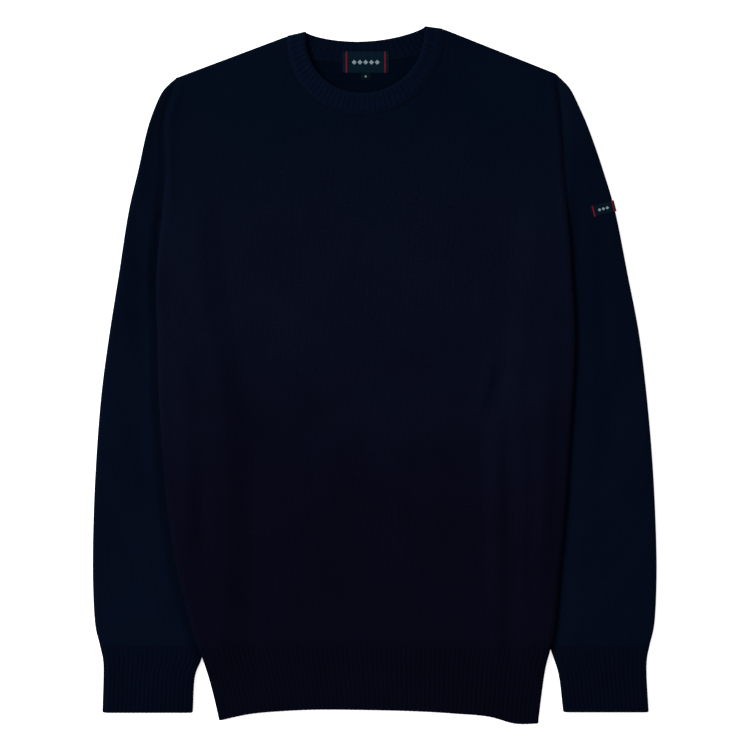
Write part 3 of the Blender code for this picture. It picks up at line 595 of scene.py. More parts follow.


# %% [markdown]
# ## Wool
#
# Wool is matt: its fibres scatter light, a fine nap softens every edge, and dyed-in-the-wool navy varies
# a little from stitch to stitch. The colour runs from a dark value between the yarns to a lighter one on
# them; the dark between the yarns is painted shade. That lighter one drifts from a violet navy at the
# hem to a bluer one at the shoulders, as in the photograph, and a wide noise keeps the change from being
# a straight band. On the body the drift is also painted light: the chest's tone is the lightest and the
# hem's and shoulders' are darker, where light falls off away from the chest. A fine noise mottles it
# like heathered fibre. Body, sleeves, cuffs, hem and neckband each have a wool of their own, set lighter
# or darker part by part to paint in how light falls on each, so the hem's is darker and the neckband's
# lighter. The back's is darker, as painted shade, because it only shows deep inside the neck.
# Mirror-like shine is off: on cloth this dark even a little of it would look grey. A low navy sheen
# lights the rims as the nap does.

# %% Wool material
TONE_LOW = -0.13
TONE_MIDDLE = 0.24
TONE_TOP = 0.38
TONE_DRIFT = 0.2
FIBRE_SCALE = 900.0
PATCH_SCALE = 11.0
KNIT_RELIEF = 0.35 * MM
RIB_RELIEF = 0.3 * MM
PAINTED_GROOVE_SHADE = 0.25


def make_wool(name, dark, lights, rib=False, rim="#25345a"):
    """lights are the colours on the yarns at the hem, on the chest and at the shoulders."""
    material, tree, shader = new_material(name)
    wale, course, relief = (RIB_WALE, RIB_COURSE, RIB_RELIEF) if rib else (WALE, COURSE, KNIT_RELIEF)
    stitches = stitch_relief(tree, wale, course)
    place = add_node(tree, "ShaderNodeTexCoord").outputs["Object"]
    fibre_noise = {"Vector": place, "Scale": FIBRE_SCALE, "Detail": 3.0}
    fibre = add_node(tree, "ShaderNodeTexNoise", fibre_noise).outputs[0]
    patch_noise = {"Vector": place, "Scale": PATCH_SCALE, "Detail": 5.0}
    patches = add_node(tree, "ShaderNodeTexNoise", patch_noise).outputs[0]
    # Painted shade: the colour is darker between the yarns, where the stitch relief is low; the fibre
    # and patch noise are the wool's own tone.
    tone = maths(tree, "MULTIPLY_ADD", stitches, 0.55, maths(tree, "MULTIPLY_ADD", fibre, 0.7, -0.35))
    level = maths(tree, "ADD", tone, maths(tree, "MULTIPLY_ADD", patches, 0.3, 0.1))
    # Painted shade: the grooves between the ribs are darkened by the stored crest.
    if rib:
        crest = add_node(tree, "ShaderNodeAttribute", attribute_name="crest").outputs["Fac"]
        shade = maths(tree, "MULTIPLY_ADD", crest, PAINTED_GROOVE_SHADE, 1.0 - PAINTED_GROOVE_SHADE)
        level = maths(tree, "MULTIPLY", level, shade)
    # The yarn colour drifts with height; on the body this is partly painted light, lightest on the chest
    # and darker at the hem and shoulders.
    height = add_node(tree, "ShaderNodeSeparateXYZ", {0: place}).outputs["Y"]
    drift = maths(tree, "MULTIPLY_ADD", patches, TONE_DRIFT, height)
    yarn = linear(lights[0])
    for low, high, light in ((TONE_LOW, TONE_MIDDLE, lights[1]), (TONE_MIDDLE, TONE_TOP, lights[2])):
        share = add_node(
            tree, "ShaderNodeMapRange", {0: drift, 1: low, 2: high}, interpolation_type="SMOOTHSTEP"
        )
        yarn = mixed(tree, share.outputs[0], yarn, linear(light))
    nap = maths(tree, "MULTIPLY_ADD", fibre, 0.35, stitches)
    bump = add_node(tree, "ShaderNodeBump", {"Strength": 0.9, "Distance": relief, "Height": nap})
    set_inputs(tree, shader, {
        "Base Color": mixed(tree, level, linear(dark), yarn),
        "Roughness": maths(tree, "MULTIPLY_ADD", fibre, 0.12, 0.84),
        "Normal": bump.outputs[0],
        "IOR": 1.55,
        "Specular IOR Level": 0.0,
        "Sheen Weight": 0.08,
        "Sheen Roughness": 0.45,
        "Sheen Tint": linear(rim),
    })
    return material


# Each part's wool is set lighter or darker to paint in how light falls on it: the hem's darker, the
# neckband's lighter.
jersey_wool = make_wool("wool_jersey_body", "#020308", ("#0d0b1b", "#0d1223", "#061020"))
sleeve_wool = make_wool("wool_jersey_sleeve", "#020308", ("#081122", "#081122", "#0a1424"))
# The back's wool is darker: painted shade, for the back panel seen deep inside the neck.
back_shaded_wool = make_wool(
    "wool_jersey_back_painted_shade", "#010306", ("#040b16", "#040b16", "#030d1b"), rim="#1c2846"
)
cuff_wool = make_wool("wool_rib_cuff", "#020307", ("#080e1e", "#080f1f", "#080f1f"), rib=True)
hem_wool = make_wool("wool_rib_hem", "#020307", ("#090b19", "#090b19", "#090b19"), rib=True)
neck_wool = make_wool("wool_rib_neck", "#020307", ("#091529", "#091529", "#091529"), rib=True)
print("jersey:", jersey_wool.name, sleeve_wool.name, back_shaded_wool.name)
print("rib:", cuff_wool.name, hem_wool.name, neck_wool.name)

# %% [markdown]
# ## Linking yarn
#
# The pieces are linked together with the same wool, twisted a little harder, so the chain along a
# seam catches slightly more light than the cloth beside it.

# %% Yarn material
YARN_TWIST = 1.1 * MM


def make_yarn(name, dark, light):
    material, tree, shader = new_material(name)
    place = add_node(tree, "ShaderNodeTexCoord").outputs["Object"]
    twist = add_node(
        tree, "ShaderNodeTexWave", {"Vector": place, "Scale": 1.0 / YARN_TWIST, "Distortion": 1.5},
        bands_direction="DIAGONAL",
    ).outputs["Fac"]
    bump = add_node(tree, "ShaderNodeBump", {"Strength": 0.6, "Distance": 0.1 * MM, "Height": twist})
    # Painted shade: the yarn's colour is darker in the grooves of its twist and lighter on the crests.
    set_inputs(tree, shader, {
        "Base Color": mixed(tree, twist, linear(dark), linear(light)),
        "Normal": bump.outputs[0],
        "Roughness": 0.85,
        "IOR": 1.55,
        "Specular IOR Level": 0.0,
        "Sheen Weight": 0.08,
        "Sheen Tint": linear("#34486e"),
    })
    return material


seam_yarn = make_yarn("wool_linking_yarn", "#03060d", "#0c1322")
label_thread = make_yarn("polyester_label_thread", "#040c14", "#122230")
print("yarn materials:", seam_yarn.name, label_thread.name)

# %% [markdown]
# ## The front and back sheets
#
# Each body panel hangs between its hem seam and its upper edge, which runs along the shoulders and
# round the neck. A column of points joins one place on the seam to one on the upper edge, and
# bends with the side that it is near. Columns crowd together at the sides, where the cloth rolls
# down to the side seam.

# %% Columns of a panel
ROLL_STEPS = [0.0, 0.3, 0.8, 1.5, 2.4, 3.5, 4.7, FOLD_ROLL]
SHOULDER_STEP = 17.5
SIDE_STEP = 9.5
EVEN_COLUMNS = 5
FINER = 6
NECK_TURNS = 78
NECK_COLUMNS = 12
FRONT_NECK_ROOM = 0.1
BACK_NECK_ROOM = 0.05


def panel_columns(facing, room):
    """The place of each column on the hem seam, and on the upper edge."""
    even = [k / FINER for k in range(1, EVEN_COLUMNS * FINER + 1)]
    ring_x, ring_y = neck_point(facing * math.pi * np.linspace(0.0, 1.0, NECK_TURNS + 1), 0.0, room)
    side = ROLL_STEPS + [FOLD_ROLL + SIDE_STEP * k for k in even]
    shoulder = ROLL_STEPS + [FOLD_ROLL + SHOULDER_STEP * k for k in even]
    neck_step = (HEM_RIGHT - HEM_LEFT - 2.0 * side[-1]) / (NECK_COLUMNS + 2)
    ends = ((HEM_LEFT, LEFT_SHOULDER, 0, 1.0), (HEM_RIGHT, RIGHT_SHOULDER, -1, -1.0))
    halves = []
    for start, corner, neck_end, sign in ends:
        reach = math.hypot(ring_x[neck_end] - corner[0], ring_y[neck_end] - corner[1])
        bridge = [k / FINER for k in range(1, FINER)]
        low = [start + sign * step for step in side + [side[-1] + neck_step * k for k in bridge]]
        far = shoulder + [shoulder[-1] + (reach - shoulder[-1]) * k for k in bridge]
        share = np.array(far) / reach
        top_x = corner[0] + (ring_x[neck_end] - corner[0]) * share
        top_y = corner[1] + (ring_y[neck_end] - corner[1]) * share
        halves.append(np.stack([low, top_x, top_y], axis=1))
    crossing = NECK_COLUMNS * np.linspace(0.0, 1.0, NECK_TURNS + 1)
    across = HEM_LEFT + side[-1] + neck_step * (1.0 + crossing)
    neck = np.stack([across, ring_x, ring_y], axis=1)
    return np.concatenate([halves[0], neck, halves[1][::-1]])


print("front columns:", len(panel_columns(1.0, FRONT_NECK_ROOM)))

# %% Plan of a panel
BEND_REACH = 150.0


def straight_side(start_x, shoulder, heights):
    share = (heights - HEM_SEAM) / (shoulder[1] - HEM_SEAM)
    return start_x + (shoulder[0] - start_x) * share


def panel_plan(columns, rows):
    low, top_x, top_y = (columns[:, k][None] for k in range(3))
    climb = np.linspace(0.0, 1.0, rows + 1)[:-1, None]
    heights = HEM_SEAM + (top_y - FOLD_ROLL - HEM_SEAM) * climb
    rolled = top_y - np.array(ROLL_STEPS[::-1])[:, None]
    heights = np.concatenate([heights, rolled])
    share = (heights - HEM_SEAM) / (top_y - HEM_SEAM)
    near_left = np.maximum(0.0, 1.0 - np.maximum(low - HEM_LEFT - FOLD_ROLL, 0.0) / BEND_REACH)
    near_right = np.maximum(0.0, 1.0 - np.maximum(HEM_RIGHT - low - FOLD_ROLL, 0.0) / BEND_REACH)
    bend_left = near_left * (left_edge(heights) - straight_side(HEM_LEFT, LEFT_SHOULDER, heights))
    bend_right = near_right * (right_edge(heights) - straight_side(HEM_RIGHT, RIGHT_SHOULDER, heights))
    return low + (top_x - low) * share + bend_left + bend_right, heights


# %% Heights of a panel
ARMHOLE_DIP = 2.0
NECK_POINT_ROOM = 1.2


def shoulder_line(corner, sign, x):
    half = SEAM_HALF_WIDTH + NECK_POINT_ROOM
    end = (NECK_X + sign * half, NECK_Y + sign * half * NECK_SLOPE)
    return corner[1] + (x - corner[0]) * (end[1] - corner[1]) / (end[0] - corner[0])


def panel_grid(x, y, middle, seam_side):
    """Level inside, and rolled down (or up) to the seam along the sides and shoulders."""
    joined = smooth_step(OVER_BELOW, JOINED_ABOVE, y)
    inset = 0.5 * SEAM_GAP + (0.5 * KNIT - 0.5 * SEAM_GAP) * (1.0 - joined)
    from_left = np.maximum(x - left_edge(y), 0.0)
    from_right = np.maximum(right_edge(y) - x, 0.0)
    from_side = np.minimum(from_left, from_right)
    slip = inset * (1.0 - np.clip(from_side / FOLD_ROLL, 0.0, 1.0))
    x = x + np.where(from_left < from_right, slip, -slip)
    side_roll = roll_share(from_side)
    left_line = shoulder_line(LEFT_SHOULDER, -1.0, x)
    right_line = shoulder_line(RIGHT_SHOULDER, 1.0, x)
    shoulder = np.where(x < NECK_X, left_line, right_line)
    on_shoulder = np.abs(x - NECK_X) > SEAM_HALF_WIDTH - FOLD_ROLL
    shoulder_roll = roll_share(np.where(on_shoulder, np.maximum(shoulder - y, 0.0), FOLD_ROLL))
    level = middle(x, y)
    seam = seam_level(x, y) + seam_side * 0.5 * SEAM_GAP
    dip = ARMHOLE_DIP * (1.0 - side_roll) if seam_side > 0 else 0.0
    side = seam + (level - seam) * side_roll
    rolled = side + (level - dip - side) * joined
    z = seam + (rolled - seam) * shoulder_roll
    y = y - np.where(on_shoulder, 0.5 * KNIT * (1.0 - shoulder_roll), 0.0)
    return np.stack([x, y, z], axis=2)


# %% Make the panels
FRONT_ROWS = 176
BACK_ROWS = 120


def make_panel(name, rows, middle, facing, room, material):
    columns = panel_columns(facing, room)
    grid = panel_grid(*panel_plan(columns, rows), middle, facing)
    side_share = 1.0 - smooth_step(OVER_BELOW, JOINED_ABOVE, grid[:, 0, 1])
    top_share = (np.abs(grid[-1, :, 0] - NECK_X) > SEAM_HALF_WIDTH + 1.0).astype(float)
    if facing < 0:
        grid = grid[:, ::-1]
        top_share = top_share[::-1]
    middle_column = grid.shape[1] // 2
    piece = cloth_wall(
        name, grid, KNIT, start_column=middle_column, axes=LEVEL_ROWS,
        mirrored_columns=side_share, mirrored_rows=top_share,
    )
    piece.data.materials.append(material)
    return piece


front_sheet = make_panel("front_knit", FRONT_ROWS, front_middle, 1.0, FRONT_NECK_ROOM, jersey_wool)
back_sheet = make_panel("back_knit", BACK_ROWS, back_middle, -1.0, BACK_NECK_ROOM, back_shaded_wool)
print("front faces:", len(front_sheet.data.polygons), "back faces:", len(back_sheet.data.polygons))

# %% [markdown]
# ## The sleeves
#
# A sleeve is a flattened tube from the armhole to the cuff. Its outer fold is the sweater's
# outline and its inner fold lies hidden under the body. Each row of the tables is one section,
# given by its two folds. The sewn end follows the body's edge and tucks in under the body towards
# the underarm, and that bend fades out over the next sections.

# %% Sections of the sleeves
SLEEVE_RIGHT = [
    # outer x, outer y, inner x, inner y
    (-196.5, 297.5, -198.0, 84.0),
    (-209.5, 285.0, -198.5, 79.0),
    (-217.5, 270.0, -198.5, 72.0),
    (-226.5, 244.5, -196.5, 65.0),
    (-235.5, 204.5, -194.5, 54.0),
    (-245.5, 162.0, -189.5, 36.0),
    (-255.0, 102.0, -181.0, 12.0),
    (-264.5, 43.0, -172.0, -24.0),
    (-272.5, -16.0, -166.0, -66.0),
    (-277.5, -76.0, -163.0, -112.0),
    (-280.5, -136.0, -162.5, -158.0),
    (-281.5, -196.0, -164.0, -205.0),
    (-279.5, -246.0, -167.0, -248.0),
    (-274.5, -270.0, -171.0, -270.0),
]
SLEEVE_LEFT = [
    (180.5, 300.5, 178.0, 84.0),
    (193.5, 287.0, 178.0, 79.0),
    (202.0, 271.0, 177.5, 73.0),
    (213.5, 244.5, 176.5, 65.0),
    (227.5, 204.5, 174.5, 54.0),
    (240.0, 162.0, 171.0, 36.0),
    (252.0, 102.0, 165.0, 12.0),
    (263.5, 43.0, 155.0, -24.0),
    (271.0, -16.0, 148.0, -66.0),
    (276.5, -76.0, 145.0, -112.0),
    (280.0, -136.0, 147.0, -158.0),
    (281.5, -196.0, 155.0, -205.0),
    (279.5, -246.0, 166.0, -248.0),
    (274.5, -270.0, 174.0, -270.0),
]
CUFF_RIGHT = [
    (-274.5, -270.0, -171.0, -270.0),
    (-271.0, -284.0, -173.0, -284.0),
    (-270.5, -302.0, -179.5, -302.0),
    (-271.5, -336.5, -181.5, -336.5),
]
CUFF_LEFT = [
    (274.5, -270.0, 174.0, -270.0),
    (271.8, -284.0, 179.0, -284.0),
    (271.5, -302.0, 184.0, -302.0),
    (273.5, -336.0, 188.0, -336.0),
]


def fold_lines(table, stations, side):
    """The right and left folds of a tube at evenly spaced sections, as two arrays of places."""
    keys = np.arange(len(table))
    at = np.linspace(0.0, len(table) - 1.0, stations)
    values = np.stack([curve_through(keys, [row[k] for row in table], at) for k in range(4)], axis=1)
    outer, inner = values[:, :2], values[:, 2:]
    return (inner, outer) if side < 0 else (outer, inner)


# %% Places around a flattened tube
def around_tube(places, layers, width):
    """Turns places between two folds into (base, scale, layer): the roll at a fold keeps its size."""
    places = np.asarray(places, float)
    share = (places - FOLD_ROLL) / (width - 2.0 * FOLD_ROLL)
    base = FOLD_ROLL - 2.0 * FOLD_ROLL * share
    scale = share.copy()
    near_right = places < FOLD_ROLL
    near_left = places > width - FOLD_ROLL
    base[near_right] = places[near_right]
    scale[near_right] = 0.0
    base[near_left] = places[near_left] - width
    scale[near_left] = 1.0
    return base, scale, np.asarray(layers)


def tube_places(right, left, around, thickness):
    """Where the columns lie in plan, with their distance from the nearer fold."""
    base, scale, _ = around
    along = left - right
    length = np.linalg.norm(along, axis=1, keepdims=True)
    direction = along / length
    place = base[None] + scale[None] * length
    distance = np.maximum(np.minimum(place, length - place), 0.0)
    inset = 0.5 * thickness * (1.0 - np.minimum(distance / FOLD_ROLL, 1.0))
    place = place + np.where(place < 0.5 * length, inset, -inset)
    plan = right[:, None] + direction[:, None] * place[..., None]
    return plan, distance, direction


def tube_grid(plan, distance, layer, thickness, floor_room=0.0):
    upper = sleeve_upper_middle(plan[..., 0], plan[..., 1])
    lower = 0.5 * thickness + floor_room
    fold = 0.5 * (upper + lower)
    target = np.where(layer[None] > 0, upper, lower)
    return np.dstack([plan, fold + (target - fold) * roll_share(distance)])


# %% The sewn end of a sleeve
ARMHOLE_ROOM = 0.15
ARMHOLE_TUCK = 20.0
FIRST_TUCK = 7.0
FIRST_TUCK_REACH = 8.0
UNDERARM_ROUNDNESS = 1.15
ARMHOLE_FADE = 0.5


def armhole_bulge(plan, direction, underarm_y, side):
    """How far the sewn end departs from a straight section, along it and beyond it."""
    x, y = plan[0, :, 0], plan[0, :, 1]
    edge = left_edge(y) if side < 0 else right_edge(y)
    low = np.maximum(OVER_BELOW - y, 0.0) / (OVER_BELOW - underarm_y)
    first = FIRST_TUCK * smooth_step(0.0, FIRST_TUCK_REACH, TUCK_BELOW - y) * (1.0 - low)
    sewn_x = edge + side * (ARMHOLE_ROOM - first - ARMHOLE_TUCK * low**UNDERARM_ROUNDNESS)
    moved = np.stack([sewn_x - x, np.zeros(len(x))], axis=1)
    beyond = np.array([direction[0, 1], -direction[0, 0]])
    return moved @ direction[0], moved @ beyond


# %% Make the sleeves
SLEEVE_STATIONS = 150
UPPER_COLUMNS = 60
LOWER_COLUMNS = 26


def make_sleeve(name, table, side, material):
    right, left = fold_lines(table, SLEEVE_STATIONS, side)
    width = float(np.linalg.norm(left[0] - right[0]))
    upper = list(np.linspace(FOLD_ROLL, width - FOLD_ROLL, UPPER_COLUMNS))
    lower = list(np.linspace(width - FOLD_ROLL, FOLD_ROLL, LOWER_COLUMNS))
    rolls = ROLL_STEPS[:-1]
    places = rolls + upper + [width - step for step in rolls[::-1]]
    places += [width - step for step in rolls[1:]] + lower + rolls[:0:-1]
    layers = [1] * (len(upper) + 2 * len(rolls)) + [-1] * (len(lower) + 2 * len(rolls) - 2)
    around = around_tube(places, layers, width)
    plan, distance, direction = tube_places(right, left, around, KNIT)
    along, across = armhole_bulge(plan, direction, table[0][3], side)
    beyond = np.stack([direction[:, 1], -direction[:, 0]], axis=1)
    fade = 1.0 - smooth_step(0.0, ARMHOLE_FADE, np.linspace(0.0, 1.0, SLEEVE_STATIONS))
    plan += fade[:, None, None] * direction[:, None] * along[None, :, None]
    plan += fade[:, None, None] * beyond[:, None] * across[None, :, None]
    grid = tube_grid(plan, distance, around[2], KNIT)
    outer_fold = places.index(0.0) if side > 0 else int(np.argmax(places))
    piece = cloth_wall(name, grid, KNIT, closed=True, start_column=outer_fold)
    piece.data.materials.append(material)
    return piece


sleeve_right_sheet = make_sleeve("sleeve_right_knit", SLEEVE_RIGHT, -1.0, sleeve_wool)
sleeve_left_sheet = make_sleeve("sleeve_left_knit", SLEEVE_LEFT, 1.0, sleeve_wool)
print("sleeve faces:", len(sleeve_right_sheet.data.polygons), len(sleeve_left_sheet.data.polygons))

# %% [markdown]
# ## Ribs from a node tree
#
# Rib knitting alternates knit and purl wales, so raised ribs stand side by side in the bands. They
# repeat hundreds of times and follow each band, which is work for Geometry Nodes: every point of a band
# carries its rib number and how much the rib may rise there, and the tree lifts it along its own normal
# by a rounded wave. It also stores that wave, so that the wool can paint shade into the grooves between
# the ribs.

# %% The rib tree
def add_sockets(tree, side, **kinds):
    for name, kind in kinds.items():
        label = name.replace("_", " ")
        tree.interface.new_socket(label, in_out=side, socket_type="NodeSocket" + kind)


def make_rib_tree():
    tree = bpy.data.node_groups.new("rib_knit", "GeometryNodeTree")
    add_sockets(
        tree, "INPUT", Geometry="Geometry", Rib_height="Float", Fullness="Float", Wool="Material"
    )
    add_sockets(tree, "OUTPUT", Geometry="Geometry")
    given = add_node(tree, "NodeGroupInput").outputs
    number, amount = [
        add_node(tree, "GeometryNodeInputNamedAttribute", {"Name": name}, data_type="FLOAT").outputs[0]
        for name in ("rib", "rib_amount")
    ]
    wave = maths(tree, "COSINE", maths(tree, "MULTIPLY", number, math.tau))
    full = maths(tree, "POWER", maths(tree, "MULTIPLY_ADD", wave, -0.5, 0.5), given["Fullness"])
    rise = maths(tree, "MULTIPLY", maths(tree, "MULTIPLY", full, amount), given["Rib height"])
    out = add_node(tree, "GeometryNodeInputNormal").outputs["Normal"]
    offset = add_node(tree, "ShaderNodeVectorMath", {0: out, 3: rise}, operation="SCALE").outputs[0]
    crest = maths(tree, "MULTIPLY_ADD", maths(tree, "SUBTRACT", full, 1.0), amount, 1.0)
    stored = add_node(
        tree, "GeometryNodeStoreNamedAttribute",
        {"Geometry": given["Geometry"], "Name": "crest", "Value": crest}, data_type="FLOAT",
    )
    lifted = add_node(tree, "GeometryNodeSetPosition", {"Geometry": stored.outputs[0], "Offset": offset})
    real = add_node(tree, "GeometryNodeRealizeInstances", {"Geometry": lifted.outputs[0]})
    dyed = add_node(
        tree, "GeometryNodeSetMaterial", {"Geometry": real.outputs[0], "Material": given["Wool"]}
    )
    add_node(tree, "NodeGroupOutput", {"Geometry": dyed.outputs[0]})
    return tree


rib_tree = make_rib_tree()
print("rib tree nodes:", len(rib_tree.nodes))

# %% Run a tree on a piece and keep the result as a plain mesh
def run_tree(piece, tree, **inputs):
    modifier = piece.modifiers.new(tree.name, "NODES")
    modifier.node_group = tree
    entries = [item for item in tree.interface.items_tree if item.in_out == "INPUT"]
    sockets = {item.name: item.identifier for item in entries}
    for name, value in inputs.items():
        modifier[sockets[name.replace("_", " ")]] = value
    bpy.context.view_layer.update()
    graph = bpy.context.evaluated_depsgraph_get()
    mesh = bpy.data.meshes.new_from_object(
        piece.evaluated_get(graph), preserve_all_data_layers=True, depsgraph=graph
    )
    mesh.name = piece.name
    piece.modifiers.clear()
    piece.data = mesh
    return piece


# %% Rib a band, and settle it on the surface
RIB_HEIGHT = 0.5
RIB_FULLNESS = 0.6


def add_ribs(piece, count, material):
    """Ribs pressed against the surface flatten: no point stays below it."""
    run_tree(piece, rib_tree, Rib_height=RIB_HEIGHT * MM, Fullness=RIB_FULLNESS, Wool=material)
    points = np.zeros(3 * len(piece.data.vertices))
    piece.data.vertices.foreach_get("co", points)
    points[2::3] = np.maximum(points[2::3], 0.0)
    piece.data.vertices.foreach_set("co", points)
    piece.data.update()
    print(piece.name, "ribs:", count, "faces:", len(piece.data.polygons))
    return piece


# %% [markdown]
# ## The cuffs
#
# A cuff is the sleeve's tube knitted on in rib, about 66 mm long, and it draws the sleeve in. Ribs
# run round the whole tube at a pitch of 5 mm; the ones underneath are pressed flat by the cuff's
# own weight. The free edge is knitted, not cut, so it ends in a rounded roll.

# %% Make the cuffs
RIB_PITCH = 5.0
INNER_RIBS = 0.5
EDGE_ROLL = 0.45 * RIB
COLUMNS_A_RIB = 8
CUFF_STATIONS = 44
PRESSED = 0.4
RIB_START = 10.0


def make_cuff(name, table, side, material):
    right, left = fold_lines(table, CUFF_STATIONS, side)
    width = float(np.linalg.norm(left[0] - right[0]))
    count = round(2.0 * width / RIB_PITCH)
    around_at = np.arange(count * COLUMNS_A_RIB) / (count * COLUMNS_A_RIB) * 2.0 * width
    upper = around_at < width
    places = np.where(upper, around_at, 2.0 * width - around_at)
    around = around_tube(places, np.where(upper, 1, -1), width)
    plan, distance, _ = tube_places(right, left, around, RIB)
    grid = tube_grid(plan, distance, around[2], RIB, PRESSED * RIB_HEIGHT)
    start = smooth_step(0.0, RIB_START, lengths_along(grid))
    from_fold = np.where(upper, distance, -distance)
    side_amount = PRESSED + (1.0 - PRESSED) * smooth_step(-FOLD_ROLL, FOLD_ROLL, from_fold)
    phase = np.arange(len(places)) / COLUMNS_A_RIB
    ribs = (phase, start * side_amount, INNER_RIBS * start)
    piece = cloth_wall(name, grid, RIB, closed=True, ends=(0.0, EDGE_ROLL), ribs=ribs)
    return add_ribs(piece, count, material)


cuff_right_band = make_cuff("cuff_right_rib", CUFF_RIGHT, -1.0, cuff_wool)
cuff_left_band = make_cuff("cuff_left_rib", CUFF_LEFT, 1.0, cuff_wool)

# %% [markdown]
# ## The hem
#
# The hem band is about 75 mm of the same rib, drawn in towards its lower edge. Front and back are two
# sheets that meet at the side seams, so each rolls to its seam as the panels above do.

# %% Make the hem bands
HEM_LENGTH = 75.0
HEM_ROWS = 40


def make_hem(name, middle, facing, room, material):
    count = round((HEM_RIGHT - HEM_LEFT) / RIB_PITCH)
    number = np.linspace(0.0, count, count * COLUMNS_A_RIB + 1)
    across = number[None] / count
    down = np.linspace(1.0, 0.0, HEM_ROWS)[:, None]
    y = HEM_SEAM - HEM_LENGTH * down + 0.0 * across
    for _ in range(4):
        x = left_edge(y) + (right_edge(y) - left_edge(y)) * across
        y = HEM_SEAM * (1.0 - down) + hem_line(x) * down
    from_left = x - left_edge(y)
    from_right = right_edge(y) - x
    from_side = np.maximum(np.minimum(from_left, from_right), 0.0)
    slip = 0.5 * KNIT * (1.0 - np.clip(from_side / FOLD_ROLL, 0.0, 1.0))
    x = x + np.where(from_left < from_right, slip, -slip)
    seam = seam_level(x, y) + facing * 0.5 * SEAM_GAP
    grid = np.stack([x, y, seam + (middle(x, y) + room - seam) * roll_share(from_side)], axis=2)
    start = smooth_step(0.0, RIB_START, HEM_SEAM - y)
    outer_amount = start if facing > 0 else PRESSED * start
    ribs = (number, outer_amount, INNER_RIBS * start)
    if facing < 0:
        grid = grid[:, ::-1]
        ribs = (number[::-1], outer_amount[:, ::-1], INNER_RIBS * start[:, ::-1])
    piece = cloth_wall(
        name, grid, RIB, ends=(EDGE_ROLL, 0.0), start_column=grid.shape[1] // 2, axes=LEVEL_ROWS,
        ribs=ribs, mirrored_columns=np.ones(HEM_ROWS),
    )
    return add_ribs(piece, count, material)


hem_front_band = make_hem("hem_front_rib", front_middle, 1.0, 0.0, hem_wool)
hem_back_band = make_hem("hem_back_rib", back_middle, -1.0, PRESSED * RIB_HEIGHT, hem_wool)

# %% [markdown]
# ## The neckband
#
# The neckband is a strip of rib linked on round the neck, here one wall thick. Across its width it
# shows a rolled free edge, a shallow channel and a second soft ridge at the seam. In front its
# outside is on top; at the back the outside rests on the table and the inside shows. So the ribs
# stand full on whichever side is up.

# %% Make the neckband
NECK_STAND = 1.4
ARCH_FROM = 0.15
ARCH_SPAN = 0.6
CHANNEL = 0.4
CHANNEL_CREST = 0.22
CHANNEL_SPAN = 0.63
BAND_ROWS = 26
SEAM_FADE = 0.2
FREE_FADE = 0.12
SIDE_FADE = 0.25
BACK_SHARE = 0.3
FRONT_LOSS = 0.6
RIB_COUNTS = [
    # turn as a share of half a turn, ribs counted up to there
    (0.0, 0.0),
    (0.03, 1.0),
    (0.97, 41.0),
    (1.03, 43.0),
    (1.08, 44.0),
    (1.92, 70.0),
    (1.97, 71.0),
    (2.0, 72.0),
]


def neckband_point(turn, share):
    x, y = neck_point(turn, share)
    below = NECK_Y + FREE_RISE * share + NECK_SLOPE * (x - NECK_X) - y
    arch = roll_share(below)
    x = x + 0.5 * RIB * np.cos(turn) * (1.0 - arch)
    facing = np.where(np.sin(turn) >= 0.0, arch, -arch)
    channel = CHANNEL * np.cos(math.tau * (share - CHANNEL_CREST) / CHANNEL_SPAN)
    stand = NECK_STAND * np.sin(math.pi * (ARCH_FROM + ARCH_SPAN * share)) + channel
    top = front_middle(x, y) + stand
    low = 0.5 * RIB
    middle = 0.5 * (top + low)
    reach = np.where(facing >= 0.0, top - middle, middle - low)
    return np.stack([x, y, middle + reach * facing], axis=2)


def make_neckband(name, material):
    count = int(RIB_COUNTS[-1][1])
    number = np.arange(count * COLUMNS_A_RIB) / COLUMNS_A_RIB
    turn = math.pi * np.interp(number, [row[1] for row in RIB_COUNTS], [row[0] for row in RIB_COUNTS])
    share = np.linspace(0.0, 1.0, BAND_ROWS)[:, None]
    grid = neckband_point(turn[None] + 0.0 * share, share + 0.0 * turn[None])
    edges = smooth_step(0.0, SEAM_FADE, share) * smooth_step(0.0, FREE_FADE, 1.0 - share)
    front_up = smooth_step(-SIDE_FADE, SIDE_FADE, np.sin(turn))[None]
    outer = edges * (BACK_SHARE + (1.0 - BACK_SHARE) * front_up)
    ribs = (number, outer, edges * (1.0 - FRONT_LOSS * front_up))
    piece = cloth_wall(name, grid, RIB, closed=True, ends=(0.0, EDGE_ROLL), ribs=ribs)
    return add_ribs(piece, count, material)


neck_band = make_neckband("neckband_rib", neck_wool)

# %% [markdown]
# ## Linking stitches from a node tree
#
# Knitted pieces are joined on a linking machine, which leaves a neat chain of small Vs along the
# seam. One tree makes every chain: it turns a path into evenly spaced places, bends a V from two
# short yarns, and stands one V at each place with its back along the cloth's own "up", which each
# path carries as an attribute. A seeded random value makes no two stitches quite the same size.

# %% The V of a stitch
def add_stitch_leg(tree, given, sign):
    """One leg of the V, as a short bent tube with closed ends."""
    half, back = [maths(tree, "MULTIPLY", given["Length"], share) for share in (0.5, -0.5)]
    wide, bow = [maths(tree, "MULTIPLY", given["Width"], share * sign) for share in (0.5, 0.45)]
    start = add_node(tree, "ShaderNodeCombineXYZ", {"X": back})
    middle = add_node(tree, "ShaderNodeCombineXYZ", {"Y": bow, "Z": given["Yarn"]})
    end = add_node(tree, "ShaderNodeCombineXYZ", {"X": half, "Y": wide})
    line = add_node(
        tree, "GeometryNodeCurveQuadraticBezier",
        {"Resolution": 4, "Start": start.outputs[0], "Middle": middle.outputs[0], "End": end.outputs[0]},
    )
    ring = add_node(tree, "GeometryNodeCurvePrimitiveCircle", {"Resolution": 5, "Radius": given["Yarn"]})
    leg = add_node(
        tree, "GeometryNodeCurveToMesh",
        {"Curve": line.outputs[0], "Profile Curve": ring.outputs[0], "Fill Caps": True},
    )
    return leg.outputs[0]


